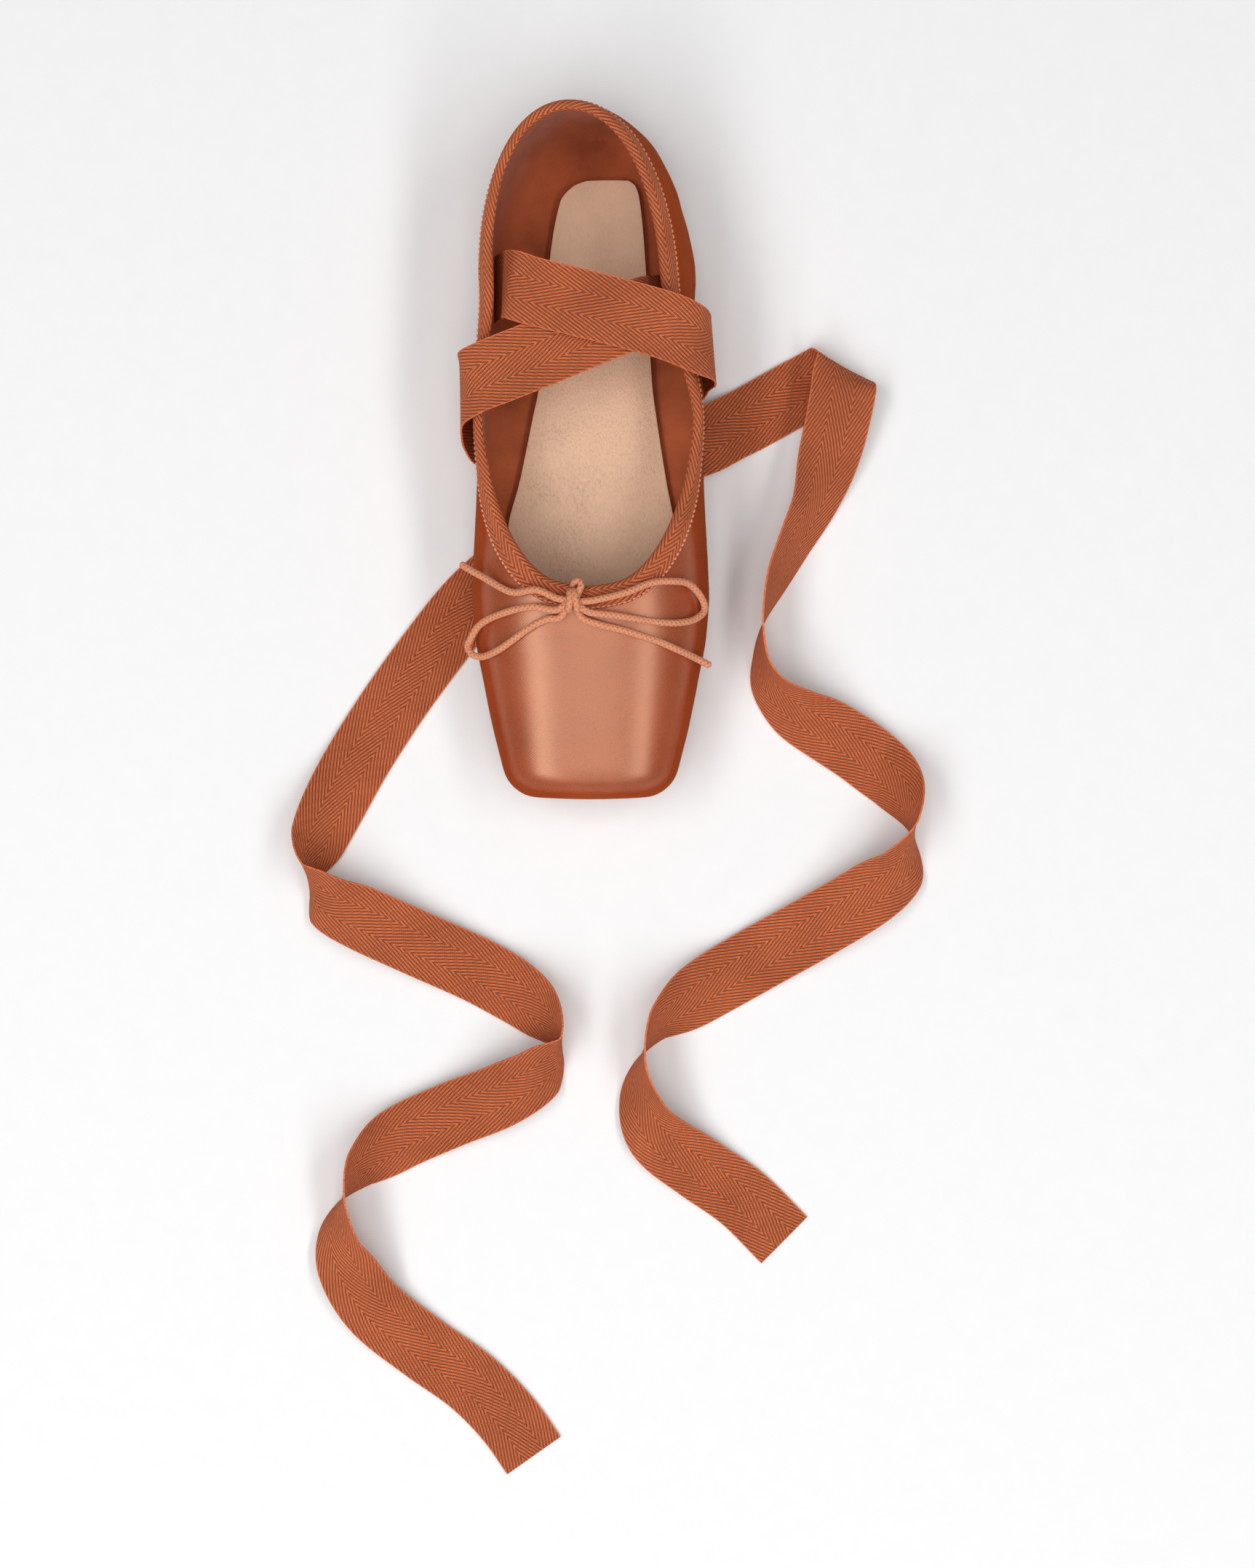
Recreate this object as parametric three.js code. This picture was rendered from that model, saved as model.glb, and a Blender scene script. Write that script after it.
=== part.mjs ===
// A satin pointe shoe, standing empty on its sole, with its two ribbons crossed over the
// opening and trailing on the floor. Millimetres, +Z up, toe toward -Y, heel toward +Y.
import * as THREE from "three";

// Driving sizes
const TOE = -114.5;
const HEEL = 114.5;
const HEEL_START = 54.5;
const HEEL_DEPTH = HEEL - HEEL_START;
const THROAT = -46;
const WALL = 2;
const GAP = 0.3;
const SOLE_THICK = 2.5;
const INSOLE_THICK = 2.2;
const ARCH = { height: 6.5, front: -68, back: 60 };
const SPRING = { height: 4, start: -96, run: 18.5 };
const PLATFORM = { depth: 9.5, side: 9, top: 8, under: 5, crown: 0.6 };
const HEEL_TUCK = { level: 22, under: 9, above: 3.6, top: 52 };
const BINDING = { depth: 7, thick: 0.9, clear: 0.55, inside: 1.1 };
const RIBBON = { width: 22, thick: 0.6, rest: 0.35, perRow: 3 };
const CORD = { radius: 1.15, sides: 8 };
const SIDE_ROWS = 12;

// Sections of the closed last, one row for each place along the foot.
// half: widest half width; opening: half width at the top edge; top: height of that edge;
// widest: height of the widest point; square: how boxy the upper arc is;
// base and lean: sideways place of the middle line and its slope with height.
const SECTIONS = [
  { y: -114.5, half: 26.6, opening: 0, top: 34.0, widest: 18, square: 2.9, base: 0, lean: 0 },
  { y: -105, half: 29.0, opening: 0, top: 36.5, widest: 18, square: 2.8, base: 0, lean: 0 },
  { y: -90, half: 32.7, opening: 0, top: 40.0, widest: 18, square: 2.6, base: 0, lean: 0 },
  { y: -75, half: 35.7, opening: 0, top: 43.0, widest: 19, square: 2.5, base: 0, lean: 0 },
  { y: -60, half: 38.4, opening: 0, top: 45.5, widest: 19, square: 2.4, base: 0.2, lean: -0.01 },
  { y: -46, half: 39.3, opening: 0, top: 47.0, widest: 20, square: 2.3, base: 0.6, lean: -0.03 },
  { y: -45, half: 39.3, opening: 7.5, top: 46.9, widest: 20, square: 2.3, base: 0.6, lean: -0.03 },
  { y: -43.5, half: 39.2, opening: 12.5, top: 46.7, widest: 20, square: 2.3, base: 0.6, lean: -0.03 },
  { y: -41, half: 39.1, opening: 16.5, top: 46.4, widest: 20, square: 2.3, base: 0.6, lean: -0.03 },
  { y: -34, half: 38.8, opening: 22.8, top: 45.5, widest: 20, square: 2.3, base: 0.6, lean: -0.03 },
  { y: -25, half: 38.3, opening: 28.0, top: 44.3, widest: 20, square: 2.3, base: 0.6, lean: -0.03 },
  { y: -9, half: 37.5, opening: 33.8, top: 42.6, widest: 21, square: 2.2, base: 0.6, lean: -0.03 },
  { y: 10, half: 37.4, opening: 36.4, top: 41.6, widest: 21, square: 2.2, base: 0.9, lean: -0.04 },
  { y: 30, half: 36.6, opening: 33.2, top: 42.2, widest: 22, square: 2.2, base: 1.5, lean: -0.085 },
  { y: 54.5, half: 35.0, opening: 29.0, top: 45.0, widest: 22, square: 2.2, base: 2.0, lean: -0.14 },
  { y: 85, half: 35.0, opening: 29.2, top: 49.0, widest: 22, square: 2.2, base: 2.6, lean: -0.172 },
  { y: 114.5, half: 35.0, opening: 29.4, top: 53.0, widest: 22, square: 2.2, base: 3.0, lean: -0.185 },
];
const UNDER_POWER = 3.4;

// Half width of the opening left underneath, closed by the sole
const SOLE_OPENING = [
  { y: -98, half: 0 },
  { y: -94, half: 9 },
  { y: -86, half: 14 },
  { y: -70, half: 18 },
  { y: -45, half: 19.5 },
  { y: -20, half: 15.5 },
  { y: 5, half: 11 },
  { y: 40, half: 9.5 },
  { y: 70, half: 9 },
  { y: 84, half: 6.5 },
  { y: 93, half: 0 },
];

// Outline of the sole
const SOLE = [
  { y: -105, half: 3 },
  { y: -103.5, half: 8 },
  { y: -99, half: 13.5 },
  { y: -90, half: 18.5 },
  { y: -75, half: 22.5 },
  { y: -55, half: 24.5 },
  { y: -35, half: 23.5 },
  { y: -10, half: 18 },
  { y: 15, half: 14.8 },
  { y: 45, half: 13.6 },
  { y: 72, half: 13.4 },
  { y: 86, half: 11.6 },
  { y: 95, half: 7.6 },
  { y: 98, half: 3 },
];

// Outline of the insole and its sideways middle
const INSOLE = [
  { y: -101, half: 6, middle: 0 },
  { y: -98, half: 13.5, middle: 0 },
  { y: -90, half: 20.5, middle: 0 },
  { y: -70, half: 26, middle: 0 },
  { y: -45, half: 28.6, middle: 0 },
  { y: -24, half: 27.8, middle: 0.1 },
  { y: -9, half: 24.6, middle: 0.7 },
  { y: 12, half: 20.8, middle: 1.2 },
  { y: 24, half: 18.9, middle: 1.6 },
  { y: 65, half: 16.2, middle: 2.1 },
  { y: 86, half: 13.4, middle: 3.0 },
  { y: 91, half: 10.6, middle: 4.4 },
  { y: 93, half: 7.2, middle: 5.4 },
];

// The drawstring's bow on the vamp. lift: height of the cord's middle over the satin;
// a row with z stands at that height itself.
const KNOT = { x: -5.6, y: -49.6, size: [3.6, 3.0, 2.5], lift: 4.3 };
const BOW = {
  drawstring_loop_left: [
    { x: -10.4, y: -52.6, lift: 3.6 },
    { x: -18.0, y: -51.6, lift: 3.3 },
    { x: -27.0, y: -53.4, lift: 2.0 },
    { x: -34.4, y: -57.0, lift: 2.3 },
    { x: -39.0, y: -61.0, z: 32.5 },
    { x: -40.4, y: -64.2, z: 30.5 },
    { x: -38.8, y: -66.8, z: 31.5 },
    { x: -34.2, y: -67.2, lift: 2.2 },
    { x: -29.4, y: -65.6, lift: 1.8 },
    { x: -24.0, y: -61.9, lift: 1.8 },
    { x: -18.6, y: -58.0, lift: 1.8 },
    { x: -13.4, y: -55.6, lift: 1.9 },
    { x: -9.7, y: -55.2, lift: 2.2 },
  ],
  drawstring_loop_right: [
    { x: -1.2, y: -49.9, lift: 3.3 },
    { x: 5.0, y: -49.0, lift: 3.4 },
    { x: 12.0, y: -47.0, lift: 3.4 },
    { x: 18.7, y: -45.3, lift: 3.3 },
    { x: 25.3, y: -44.6, lift: 3.3 },
    { x: 30.7, y: -45.9, lift: 3.2 },
    { x: 34.4, y: -48.8, lift: 3.0 },
    { x: 35.4, y: -52.2, lift: 2.6 },
    { x: 33.2, y: -55.0, lift: 2.0 },
    { x: 28.4, y: -56.6, lift: 1.8 },
    { x: 22.5, y: -56.6, lift: 1.8 },
    { x: 15.0, y: -55.6, lift: 1.8 },
    { x: 7.6, y: -54.3, lift: 2.9 },
    { x: -0.6, y: -53.1, lift: 4.0 },
  ],
  drawstring_end_left: [
    { x: -10.0, y: -49.2, lift: 3.6 },
    { x: -16.2, y: -46.4, lift: 3.6 },
    { x: -24.0, y: -44.6, lift: 3.6 },
    { x: -32.6, y: -42.2, lift: 3.2 },
    { x: -38.8, y: -39.6, z: 37.5 },
    { x: -42.6, y: -37.2, z: 35.5 },
  ],
  drawstring_end_right: [
    { x: -2.4, y: -55.3, lift: 1.8 },
    { x: 3.0, y: -57.4, lift: 1.6 },
    { x: 9.2, y: -58.9, lift: 1.6 },
    { x: 15.1, y: -60.6, lift: 1.6 },
    { x: 21.3, y: -62.6, lift: 1.6 },
    { x: 27.2, y: -65.2, lift: 1.9 },
    { x: 33.3, y: -68.0, lift: 2.4 },
    { x: 39.6, y: -70.6, z: 32.0 },
  ],
};

// Ribbon routes by their middle line: first over the opening and under the arch,
// then the tail on the floor, where roll turns the ribbon about its own line.
const RIBBONS = {
  ribbon_left: {
    facing: 1,
    wrap: [
      { x: -31.8, y: 54.2, z: 22, skew: 0 },
      { x: -28.8, y: 53.8, z: 37, skew: 0 },
      { x: -26.0, y: 53.0, z: 46.6, skew: 0.1 },
      { x: -20.0, y: 50.8, z: 48.6, skew: 0.26 },
      { x: -2.6, y: 46.4, z: 49.4, skew: 0.28 },
      { x: 14.0, y: 42.2, z: 49.6, skew: 0.28 },
      { x: 27.0, y: 38.4, z: 48.8, skew: 0.2 },
      { x: 35.2, y: 35.0, z: 45.6, skew: 0.02 },
      { x: 39.6, y: 33.6, z: 38.0, skew: -0.08 },
      { x: 40.2, y: 33.0, z: 26.0, skew: -0.08 },
      { x: 39.2, y: 33.4, z: 14.0, skew: -0.08 },
      { x: 36.0, y: 32.0, z: 6.0, skew: -0.08 },
      { x: 30.0, y: 27.0, z: 1.6, skew: -0.08 },
      { x: 22.0, y: 17.0, z: 0.7, skew: -0.08 },
      { x: 8.0, y: 0.2, z: 0.7, skew: -0.08 },
      { x: -12.0, y: -20.6, z: 0.7, skew: -0.08 },
      { x: -27.0, y: -35.4, z: 0.7, skew: -0.08 },
    ],
    tail: [
      { x: -41.0, y: -48.5, z: 0.7, roll: 180 },
      { x: -54.7, y: -65.7, z: 0.7, roll: 180 },
      { x: -69.5, y: -86.6, z: 0.7, roll: 180 },
      { x: -82.2, y: -107.4, z: 0.8, roll: 174 },
      { x: -91.9, y: -128.3, z: 2.5, roll: 145 },
      { x: -95.0, y: -140.0, z: 6.0, roll: 90 },
      { x: -89.3, y: -148.4, z: 10.0, roll: 35 },
      { x: -76.2, y: -154.8, z: 9.0, roll: 8 },
      { x: -58.1, y: -163.2, z: 5.0, roll: 0 },
      { x: -33.8, y: -174.6, z: 2.0, roll: 4 },
      { x: -19.0, y: -184.4, z: 3.5, roll: 30 },
      { x: -9.9, y: -197.1, z: 7.0, roll: 90 },
      { x: -16.7, y: -205.9, z: 10.0, roll: 145 },
      { x: -30.6, y: -214.1, z: 8.0, roll: 172 },
      { x: -47.2, y: -220.8, z: 4.0, roll: 180 },
      { x: -65.9, y: -229.5, z: 3.0, roll: 166 },
      { x: -77.6, y: -238.4, z: 7.0, roll: 125 },
      { x: -83.4, y: -248.8, z: 10.0, roll: 85 },
      { x: -84.8, y: -260.8, z: 11.0, roll: 50 },
      { x: -81.6, y: -272.1, z: 9.0, roll: 20 },
      { x: -72.9, y: -286.2, z: 4.0, roll: 4 },
      { x: -57.1, y: -299.3, z: 1.5, roll: 0 },
      { x: -40.0, y: -311.7, z: 0.8, roll: 0 },
      { x: -27.7, y: -324.3, z: 0.7, roll: 0 },
      { x: -19.4, y: -336.1, z: 0.7, roll: 0 },
    ],
  },
  ribbon_right: {
    facing: -1,
    wrap: [
      { x: 27.2, y: 48.6, z: 22, skew: -0.12 },
      { x: 22.2, y: 46.6, z: 36, skew: -0.27 },
      { x: 18.4, y: 45.0, z: 43.4, skew: -0.32 },
      { x: 11.0, y: 41.8, z: 46.4, skew: -0.4 },
      { x: -5.0, y: 35.2, z: 46.6, skew: -0.4 },
      { x: -18.0, y: 29.8, z: 46.4, skew: -0.4 },
      { x: -30.0, y: 25.0, z: 46.8, skew: -0.36 },
      { x: -38.4, y: 21.6, z: 45.2, skew: -0.12 },
      { x: -42.0, y: 18.8, z: 38.0, skew: 0 },
      { x: -42.2, y: 15.4, z: 26.0, skew: 0 },
      { x: -40.2, y: 11.6, z: 14.0, skew: 0 },
      { x: -34.6, y: 7.4, z: 5.8, skew: 0 },
      { x: -24.0, y: 3.6, z: 2.6, skew: 0 },
      { x: -8.0, y: 1.0, z: 2.8, skew: 0 },
      { x: 10.0, y: 0.4, z: 3.4, skew: 0 },
      { x: 25.0, y: 2.0, z: 5.3, skew: 0 },
    ],
    tail: [
      { x: 37.6, y: 5.4, z: 5.8, roll: 180 },
      { x: 46.0, y: 10.0, z: 3.0, roll: 180 },
      { x: 53.3, y: 13.8, z: 0.8, roll: 180 },
      { x: 67.6, y: 21.8, z: 0.8, roll: 180 },
      { x: 78.4, y: 27.6, z: 1.2, roll: 184 },
      { x: 84.2, y: 30.8, z: 6.0, roll: 270 },
      { x: 84.6, y: 24.6, z: 11.5, roll: 354 },
      { x: 82.8, y: 13.5, z: 10.5, roll: 350 },
      { x: 79.9, y: 1.1, z: 9.0, roll: 340 },
      { x: 75.0, y: -14.8, z: 9.0, roll: 315 },
      { x: 68.8, y: -27.5, z: 10.0, roll: 303 },
      { x: 62.7, y: -40.5, z: 11.0, roll: 292 },
      { x: 57.8, y: -55.1, z: 11.5, roll: 272 },
      { x: 57.1, y: -67.3, z: 11.0, roll: 259 },
      { x: 60.3, y: -77.0, z: 9.5, roll: 240 },
      { x: 69.0, y: -85.5, z: 7.0, roll: 216 },
      { x: 80.2, y: -91.8, z: 4.0, roll: 194 },
      { x: 93.7, y: -100.8, z: 2.5, roll: 188 },
      { x: 102.7, y: -109.9, z: 4.0, roll: 215 },
      { x: 108.1, y: -124.5, z: 7.0, roll: 270 },
      { x: 104.2, y: -137.9, z: 10.0, roll: 320 },
      { x: 93.3, y: -146.5, z: 9.0, roll: 350 },
      { x: 75.2, y: -157.6, z: 5.0, roll: 360 },
      { x: 53.3, y: -170.0, z: 2.0, roll: 358 },
      { x: 34.9, y: -181.0, z: 3.0, roll: 340 },
      { x: 22.6, y: -190.0, z: 7.0, roll: 298 },
      { x: 16.5, y: -202.5, z: 10.0, roll: 262 },
      { x: 16.7, y: -215.9, z: 10.0, roll: 230 },
      { x: 22.6, y: -228.4, z: 7.0, roll: 200 },
      { x: 36.1, y: -238.8, z: 3.0, roll: 184 },
      { x: 50.9, y: -249.3, z: 1.0, roll: 180 },
      { x: 65.1, y: -263.4, z: 0.7, roll: 180 },
    ],
  },
};

// Materials
const satin = new THREE.MeshStandardMaterial({ color: 0xb9623f, roughness: 0.35, metalness: 0 });
const twill = new THREE.MeshStandardMaterial({ color: 0xa04e2c, roughness: 0.8, metalness: 0 });
const cotton = new THREE.MeshStandardMaterial({ color: 0xc07a58, roughness: 0.85, metalness: 0 });
const suede = new THREE.MeshStandardMaterial({ color: 0xdcb491, roughness: 0.95, metalness: 0 });
const leather = new THREE.MeshStandardMaterial({ color: 0xb98a63, roughness: 0.7, metalness: 0 });

// A column of a table at y, by a smooth curve that keeps between neighbouring rows
function at(table, column, y) {
  const last = table.length - 1;
  if (y <= table[0].y) return table[0][column];
  if (y >= table[last].y) return table[last][column];
  let i = 0;
  while (y > table[i + 1].y) i += 1;
  const slope = (k) => (table[k + 1][column] - table[k][column]) / (table[k + 1].y - table[k].y);
  const rise = (k) => {
    if (k === 0) return slope(0);
    if (k === last) return slope(last - 1);
    const before = slope(k - 1);
    const after = slope(k);
    return before * after <= 0 ? 0 : (2 * before * after) / (before + after);
  };
  const step = table[i + 1].y - table[i].y;
  const t = (y - table[i].y) / step;
  const a = table[i][column];
  const b = table[i + 1][column];
  return a + t * t * (3 - 2 * t) * (b - a)
    + step * (t * (1 - t) * (1 - t) * rise(i) - t * t * (1 - t) * rise(i + 1));
}

// Height of the sole's walking face: flat heel and forefoot, arch between, toe spring
function ground(y) {
  let z = 0;
  if (y > ARCH.front && y < ARCH.back) {
    z += ARCH.height * Math.sin((Math.PI * (y - ARCH.front)) / (ARCH.back - ARCH.front)) ** 2;
  }
  if (y < SPRING.start) z += SPRING.height * ((SPRING.start - y) / SPRING.run) ** 1.6;
  return z;
}

const underside = (y) => ground(y) + SOLE_THICK + GAP;

// One section of the upper: its named sizes at a station
function section(station) {
  const { y, narrow = 1, round = 0, shrink = 1 } = station;
  const half = (at(SECTIONS, "half", y) * narrow - PLATFORM.side * round) * shrink;
  const widest = at(SECTIONS, "widest", y);
  const top = at(SECTIONS, "top", y) - PLATFORM.top * round;
  const under = underside(y) + PLATFORM.under * round;
  const square = at(SECTIONS, "square", y);
  const opening = at(SECTIONS, "opening", y) * narrow;
  const share = half > 1e-6 ? Math.min(opening / half, 0.995) : at(SECTIONS, "opening", y) / at(SECTIONS, "half", y);
  const crown = widest + (top - widest) / (1 - share ** square) ** (1 / square);
  const soleOpening = half > 1e-6 ? Math.min(at(SOLE_OPENING, "half", y) * narrow / half, 0.9) : 0;
  return {
    ...station, half, widest, under: widest + (under - widest) * shrink, square, share,
    crown: widest + (crown - widest) * shrink, soleOpening,
    base: at(SECTIONS, "base", y), lean: at(SECTIONS, "lean", y),
  };
}

// Backward slope of the heel: tucked in below, drawn in at the collar
function heelShift(y, z) {
  if (y <= HEEL_START) return 0;
  const weight = ((y - HEEL_START) / HEEL_DEPTH) ** 3;
  if (z < HEEL_TUCK.level) return -HEEL_TUCK.under * weight * ((HEEL_TUCK.level - z) / HEEL_TUCK.level) ** 2.4;
  return -HEEL_TUCK.above * weight * ((z - HEEL_TUCK.level) / (HEEL_TUCK.top - HEEL_TUCK.level)) ** 1.7;
}

// Points down one side of a section, from the top edge to the sole's edge, evenly spaced
function profile(s, side, rows) {
  const topAngle = Math.acos(s.share ** (s.square / 2));
  const lowAngle = Math.acos(s.soleOpening ** (UNDER_POWER / 2));
  const fine = [];
  const steps = 60;
  for (let i = 0; i <= 2 * steps; i += 1) {
    const upper = i <= steps;
    const angle = upper ? topAngle * (1 - i / steps) : lowAngle * (i / steps - 1);
    const power = upper ? s.square : UNDER_POWER;
    const out = s.half * Math.max(Math.cos(angle), 0) ** (2 / power);
    const rise = Math.max(Math.sin(angle), 0) ** (2 / power);
    const z = upper ? s.widest + (s.crown - s.widest) * rise : s.widest - (s.widest - s.under) * rise;
    const x = s.base + s.lean * z + side * out;
    fine.push(new THREE.Vector3(x, s.place + heelShift(s.y, z), z));
  }
  const along = [0];
  for (let i = 1; i < fine.length; i += 1) along.push(along[i - 1] + fine[i].distanceTo(fine[i - 1]));
  const total = along[along.length - 1];
  const points = [];
  let k = 0;
  for (let row = 0; row <= rows; row += 1) {
    const want = (total * row) / rows;
    while (k < fine.length - 2 && along[k + 1] < want) k += 1;
    const share = along[k + 1] > along[k] ? (want - along[k]) / (along[k + 1] - along[k]) : 0;
    points.push(fine[k].clone().lerp(fine[k + 1], Math.min(Math.max(share, 0), 1)));
  }
  return points;
}

// Stations from the middle of the toe platform to the back of the heel
function stations() {
  const list = [];
  for (const shrink of [0, 0.5]) {
    list.push({ y: TOE, place: TOE + PLATFORM.crown * shrink ** 2, round: 1, shrink });
  }
  for (let i = 0; i <= 5; i += 1) {
    const angle = (Math.PI / 2) * (i / 5);
    const place = TOE + PLATFORM.crown + (PLATFORM.depth - PLATFORM.crown) * (1 - Math.cos(angle));
    list.push({ y: place, place, round: 1 - Math.sin(angle) });
  }
  const vamp = [-98, -94, -88, -81, -74, -67, -60, -54, -49.5];
  const throat = [THROAT, -45.4, -44.4, -43, -41, -38, -34, -29, -23, -16, -8];
  const waist = [1, 10, 19, 28, 37, 46];
  for (const place of [...vamp, ...throat, ...waist]) list.push({ y: place, place });
  const heelSteps = 11;
  for (let i = 0; i <= heelSteps; i += 1) {
    const angle = (Math.PI / 2) * (i / heelSteps);
    const place = HEEL_START + HEEL_DEPTH * Math.sin(angle);
    list.push({ y: place, place, narrow: i === heelSteps ? 0 : Math.cos(angle) });
  }
  return list.map(section);
}

// Triangles with shared corners joined
function joinCorners(points, faces) {
  const seen = new Map();
  const corners = [];
  const index = points.map((p) => {
    const key = [p.x, p.y, p.z].map((value) => Math.round(value * 500 + 0.12)).join(",");
    if (!seen.has(key)) {
      seen.set(key, corners.length);
      corners.push(p);
    }
    return seen.get(key);
  });
  const kept = [];
  for (const face of faces) {
    const [a, b, c] = face.map((k) => index[k]);
    if (a !== b && b !== c && c !== a) kept.push([a, b, c]);
  }
  return { corners, faces: kept };
}

function geometryOf({ corners, faces }) {
  const geometry = new THREE.BufferGeometry();
  geometry.setAttribute("position", new THREE.Float32BufferAttribute(corners.flatMap((p) => [p.x, p.y, p.z]), 3));
  geometry.setIndex(faces.flat());
  geometry.computeVertexNormals();
  return geometry;
}

// Outer skin of the upper: a left and a right strip from the top edge to the sole's edge
function outerSkin() {
  const list = stations();
  const points = [];
  const faces = [];
  const width = SIDE_ROWS + 1;
  for (const side of [-1, 1]) {
    const first = points.length;
    for (const s of list) points.push(...profile(s, side, SIDE_ROWS));
    for (let i = 0; i + 1 < list.length; i += 1) {
      for (let row = 0; row < SIDE_ROWS; row += 1) {
        const a = first + i * width + row;
        const b = a + 1;
        const c = a + width;
        const d = c + 1;
        if (side > 0) faces.push([a, b, d], [a, d, c]);
        else faces.push([a, d, b], [a, c, d]);
      }
    }
  }
  return joinCorners(points, faces);
}

// A wall of even thickness behind a skin, closed along every free edge
function walled(skin, thick) {
  const normals = geometryOf(skin).getAttribute("normal");
  const count = skin.corners.length;
  const inside = skin.corners.map((p, i) => p.clone().addScaledVector(new THREE.Vector3().fromBufferAttribute(normals, i), -thick));
  const faces = [...skin.faces, ...skin.faces.map(([a, b, c]) => [c + count, b + count, a + count])];
  const used = new Set(skin.faces.flatMap(([a, b, c]) => [`${a},${b}`, `${b},${c}`, `${c},${a}`]));
  for (const edge of used) {
    const [a, b] = edge.split(",").map(Number);
    if (!used.has(`${b},${a}`)) faces.push([b, a, a + count], [b, a + count, b + count]);
  }
  return { corners: [...skin.corners, ...inside], faces };
}

// A closed solid through rings of equal count; a loop joins its last ring to its first.
// On the turned side the quads are split along their other diagonal.
function loft(rings, { loop = false, turned = -1 } = {}) {
  const count = rings[0].length;
  const corners = rings.flat();
  const faces = [];
  const last = loop ? rings.length : rings.length - 1;
  for (let i = 0; i < last; i += 1) {
    const next = (i + 1) % rings.length;
    for (let k = 0; k < count; k += 1) {
      const a = i * count + k;
      const b = i * count + ((k + 1) % count);
      const c = next * count + k;
      const d = next * count + ((k + 1) % count);
      if (k === turned) faces.push([a, b, c], [b, d, c]);
      else faces.push([a, b, d], [a, d, c]);
    }
  }
  if (!loop) {
    const end = (rings.length - 1) * count;
    for (let k = 1; k + 1 < count; k += 1) {
      faces.push([0, k + 1, k], [end, end + k, end + k + 1]);
    }
  }
  const solid = { corners, faces };
  return volume(solid) < 0 ? { corners, faces: faces.map(([a, b, c]) => [a, c, b]) } : solid;
}

function volume({ corners, faces }) {
  const cross = new THREE.Vector3();
  return faces.reduce((sum, [a, b, c]) => sum + corners[a].dot(cross.crossVectors(corners[b], corners[c])) / 6, 0);
}

const skin = outerSkin();
const skinTriangles = skin.faces.map((face) => new THREE.Triangle(...face.map((k) => skin.corners[k])));

// Nearest place on the skin, with the outward direction there
function nearest(point) {
  const hit = new THREE.Vector3();
  const found = { distance: Infinity, point: new THREE.Vector3(), normal: new THREE.Vector3() };
  for (const triangle of skinTriangles) {
    triangle.closestPointToPoint(point, hit);
    const distance = hit.distanceToSquared(point);
    if (distance < found.distance) {
      found.distance = distance;
      found.point.copy(hit);
      triangle.getNormal(found.normal);
    }
  }
  return found;
}

// Height of the satin above a place in plan
function satinHeight(x, y) {
  const ray = new THREE.Ray(new THREE.Vector3(x, y, 200), new THREE.Vector3(0, 0, -1));
  const hit = new THREE.Vector3();
  let height = 0;
  for (const triangle of skinTriangles) {
    if (ray.intersectTriangle(triangle.a, triangle.b, triangle.c, false, hit)) height = Math.max(height, hit.z);
  }
  return height;
}

// Top edge of the upper as one loop: throat, left side, heel, right side
function topEdge() {
  const open = stations().filter((s) => s.y >= THROAT);
  const left = open.map((s) => profile(s, -1, SIDE_ROWS)[0]);
  const right = open.map((s) => profile(s, 1, SIDE_ROWS)[0]);
  return [...left, ...right.slice(1, -1).reverse()];
}

// Folded tape over the top edge: one leg outside the wall, one inside
function bindingSolid() {
  const loop = topEdge();
  const normals = geometryOf(skin).getAttribute("normal");
  const rings = loop.map((edge, i) => {
    const ahead = loop[(i + 1) % loop.length];
    const behind = loop[(i + loop.length - 1) % loop.length];
    const tangent = ahead.clone().sub(behind).normalize();
    const corner = skin.corners.findIndex((p) => p.distanceTo(edge) < 0.01);
    const out = new THREE.Vector3().fromBufferAttribute(normals, corner);
    const down = out.clone().cross(tangent).normalize();
    const half = nearest(edge.clone().addScaledVector(down, BINDING.depth / 2));
    const foot = nearest(edge.clone().addScaledVector(down, BINDING.depth));
    const up = edge.clone().addScaledVector(down, -BINDING.clear);
    const outUp = up.clone().addScaledVector(down, -BINDING.thick);
    const place = (from, normal, depth) => from.clone().addScaledVector(normal, depth);
    const outer = BINDING.clear + BINDING.thick;
    const inner = -WALL - BINDING.inside;
    const lining = inner - BINDING.thick;
    return [
      place(foot.point, foot.normal, outer), place(half.point, half.normal, outer), place(outUp, out, outer),
      place(outUp, out, lining), place(half.point, half.normal, lining), place(foot.point, foot.normal, lining),
      place(foot.point, foot.normal, inner), place(half.point, half.normal, inner), place(up, out, inner),
      place(up, out, BINDING.clear), place(half.point, half.normal, BINDING.clear),
      place(foot.point, foot.normal, BINDING.clear),
    ];
  });
  return loft(rings, { loop: true });
}

// A flat board through an outline, with eased edges
function board(outline, thick, bottomAt, middleAt, ease, stepCount) {
  const from = outline[0].y;
  const to = outline[outline.length - 1].y;
  const rings = [];
  for (let i = 0; i <= stepCount; i += 1) {
    const t = i / stepCount;
    const y = from + (to - from) * (0.5 - 0.5 * Math.cos(Math.PI * t)) * 0.6 + (to - from) * t * 0.4;
    const half = at(outline, "half", y);
    const z = bottomAt(y);
    const x = middleAt(y);
    rings.push([
      [half - ease, 0], [half, ease], [half, thick - ease], [half - ease, thick],
      [ease - half, thick], [-half, thick - ease], [-half, ease], [ease - half, 0],
    ].map(([across, up]) => new THREE.Vector3(x + across, y, z + up)));
  }
  return loft(rings);
}

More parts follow.
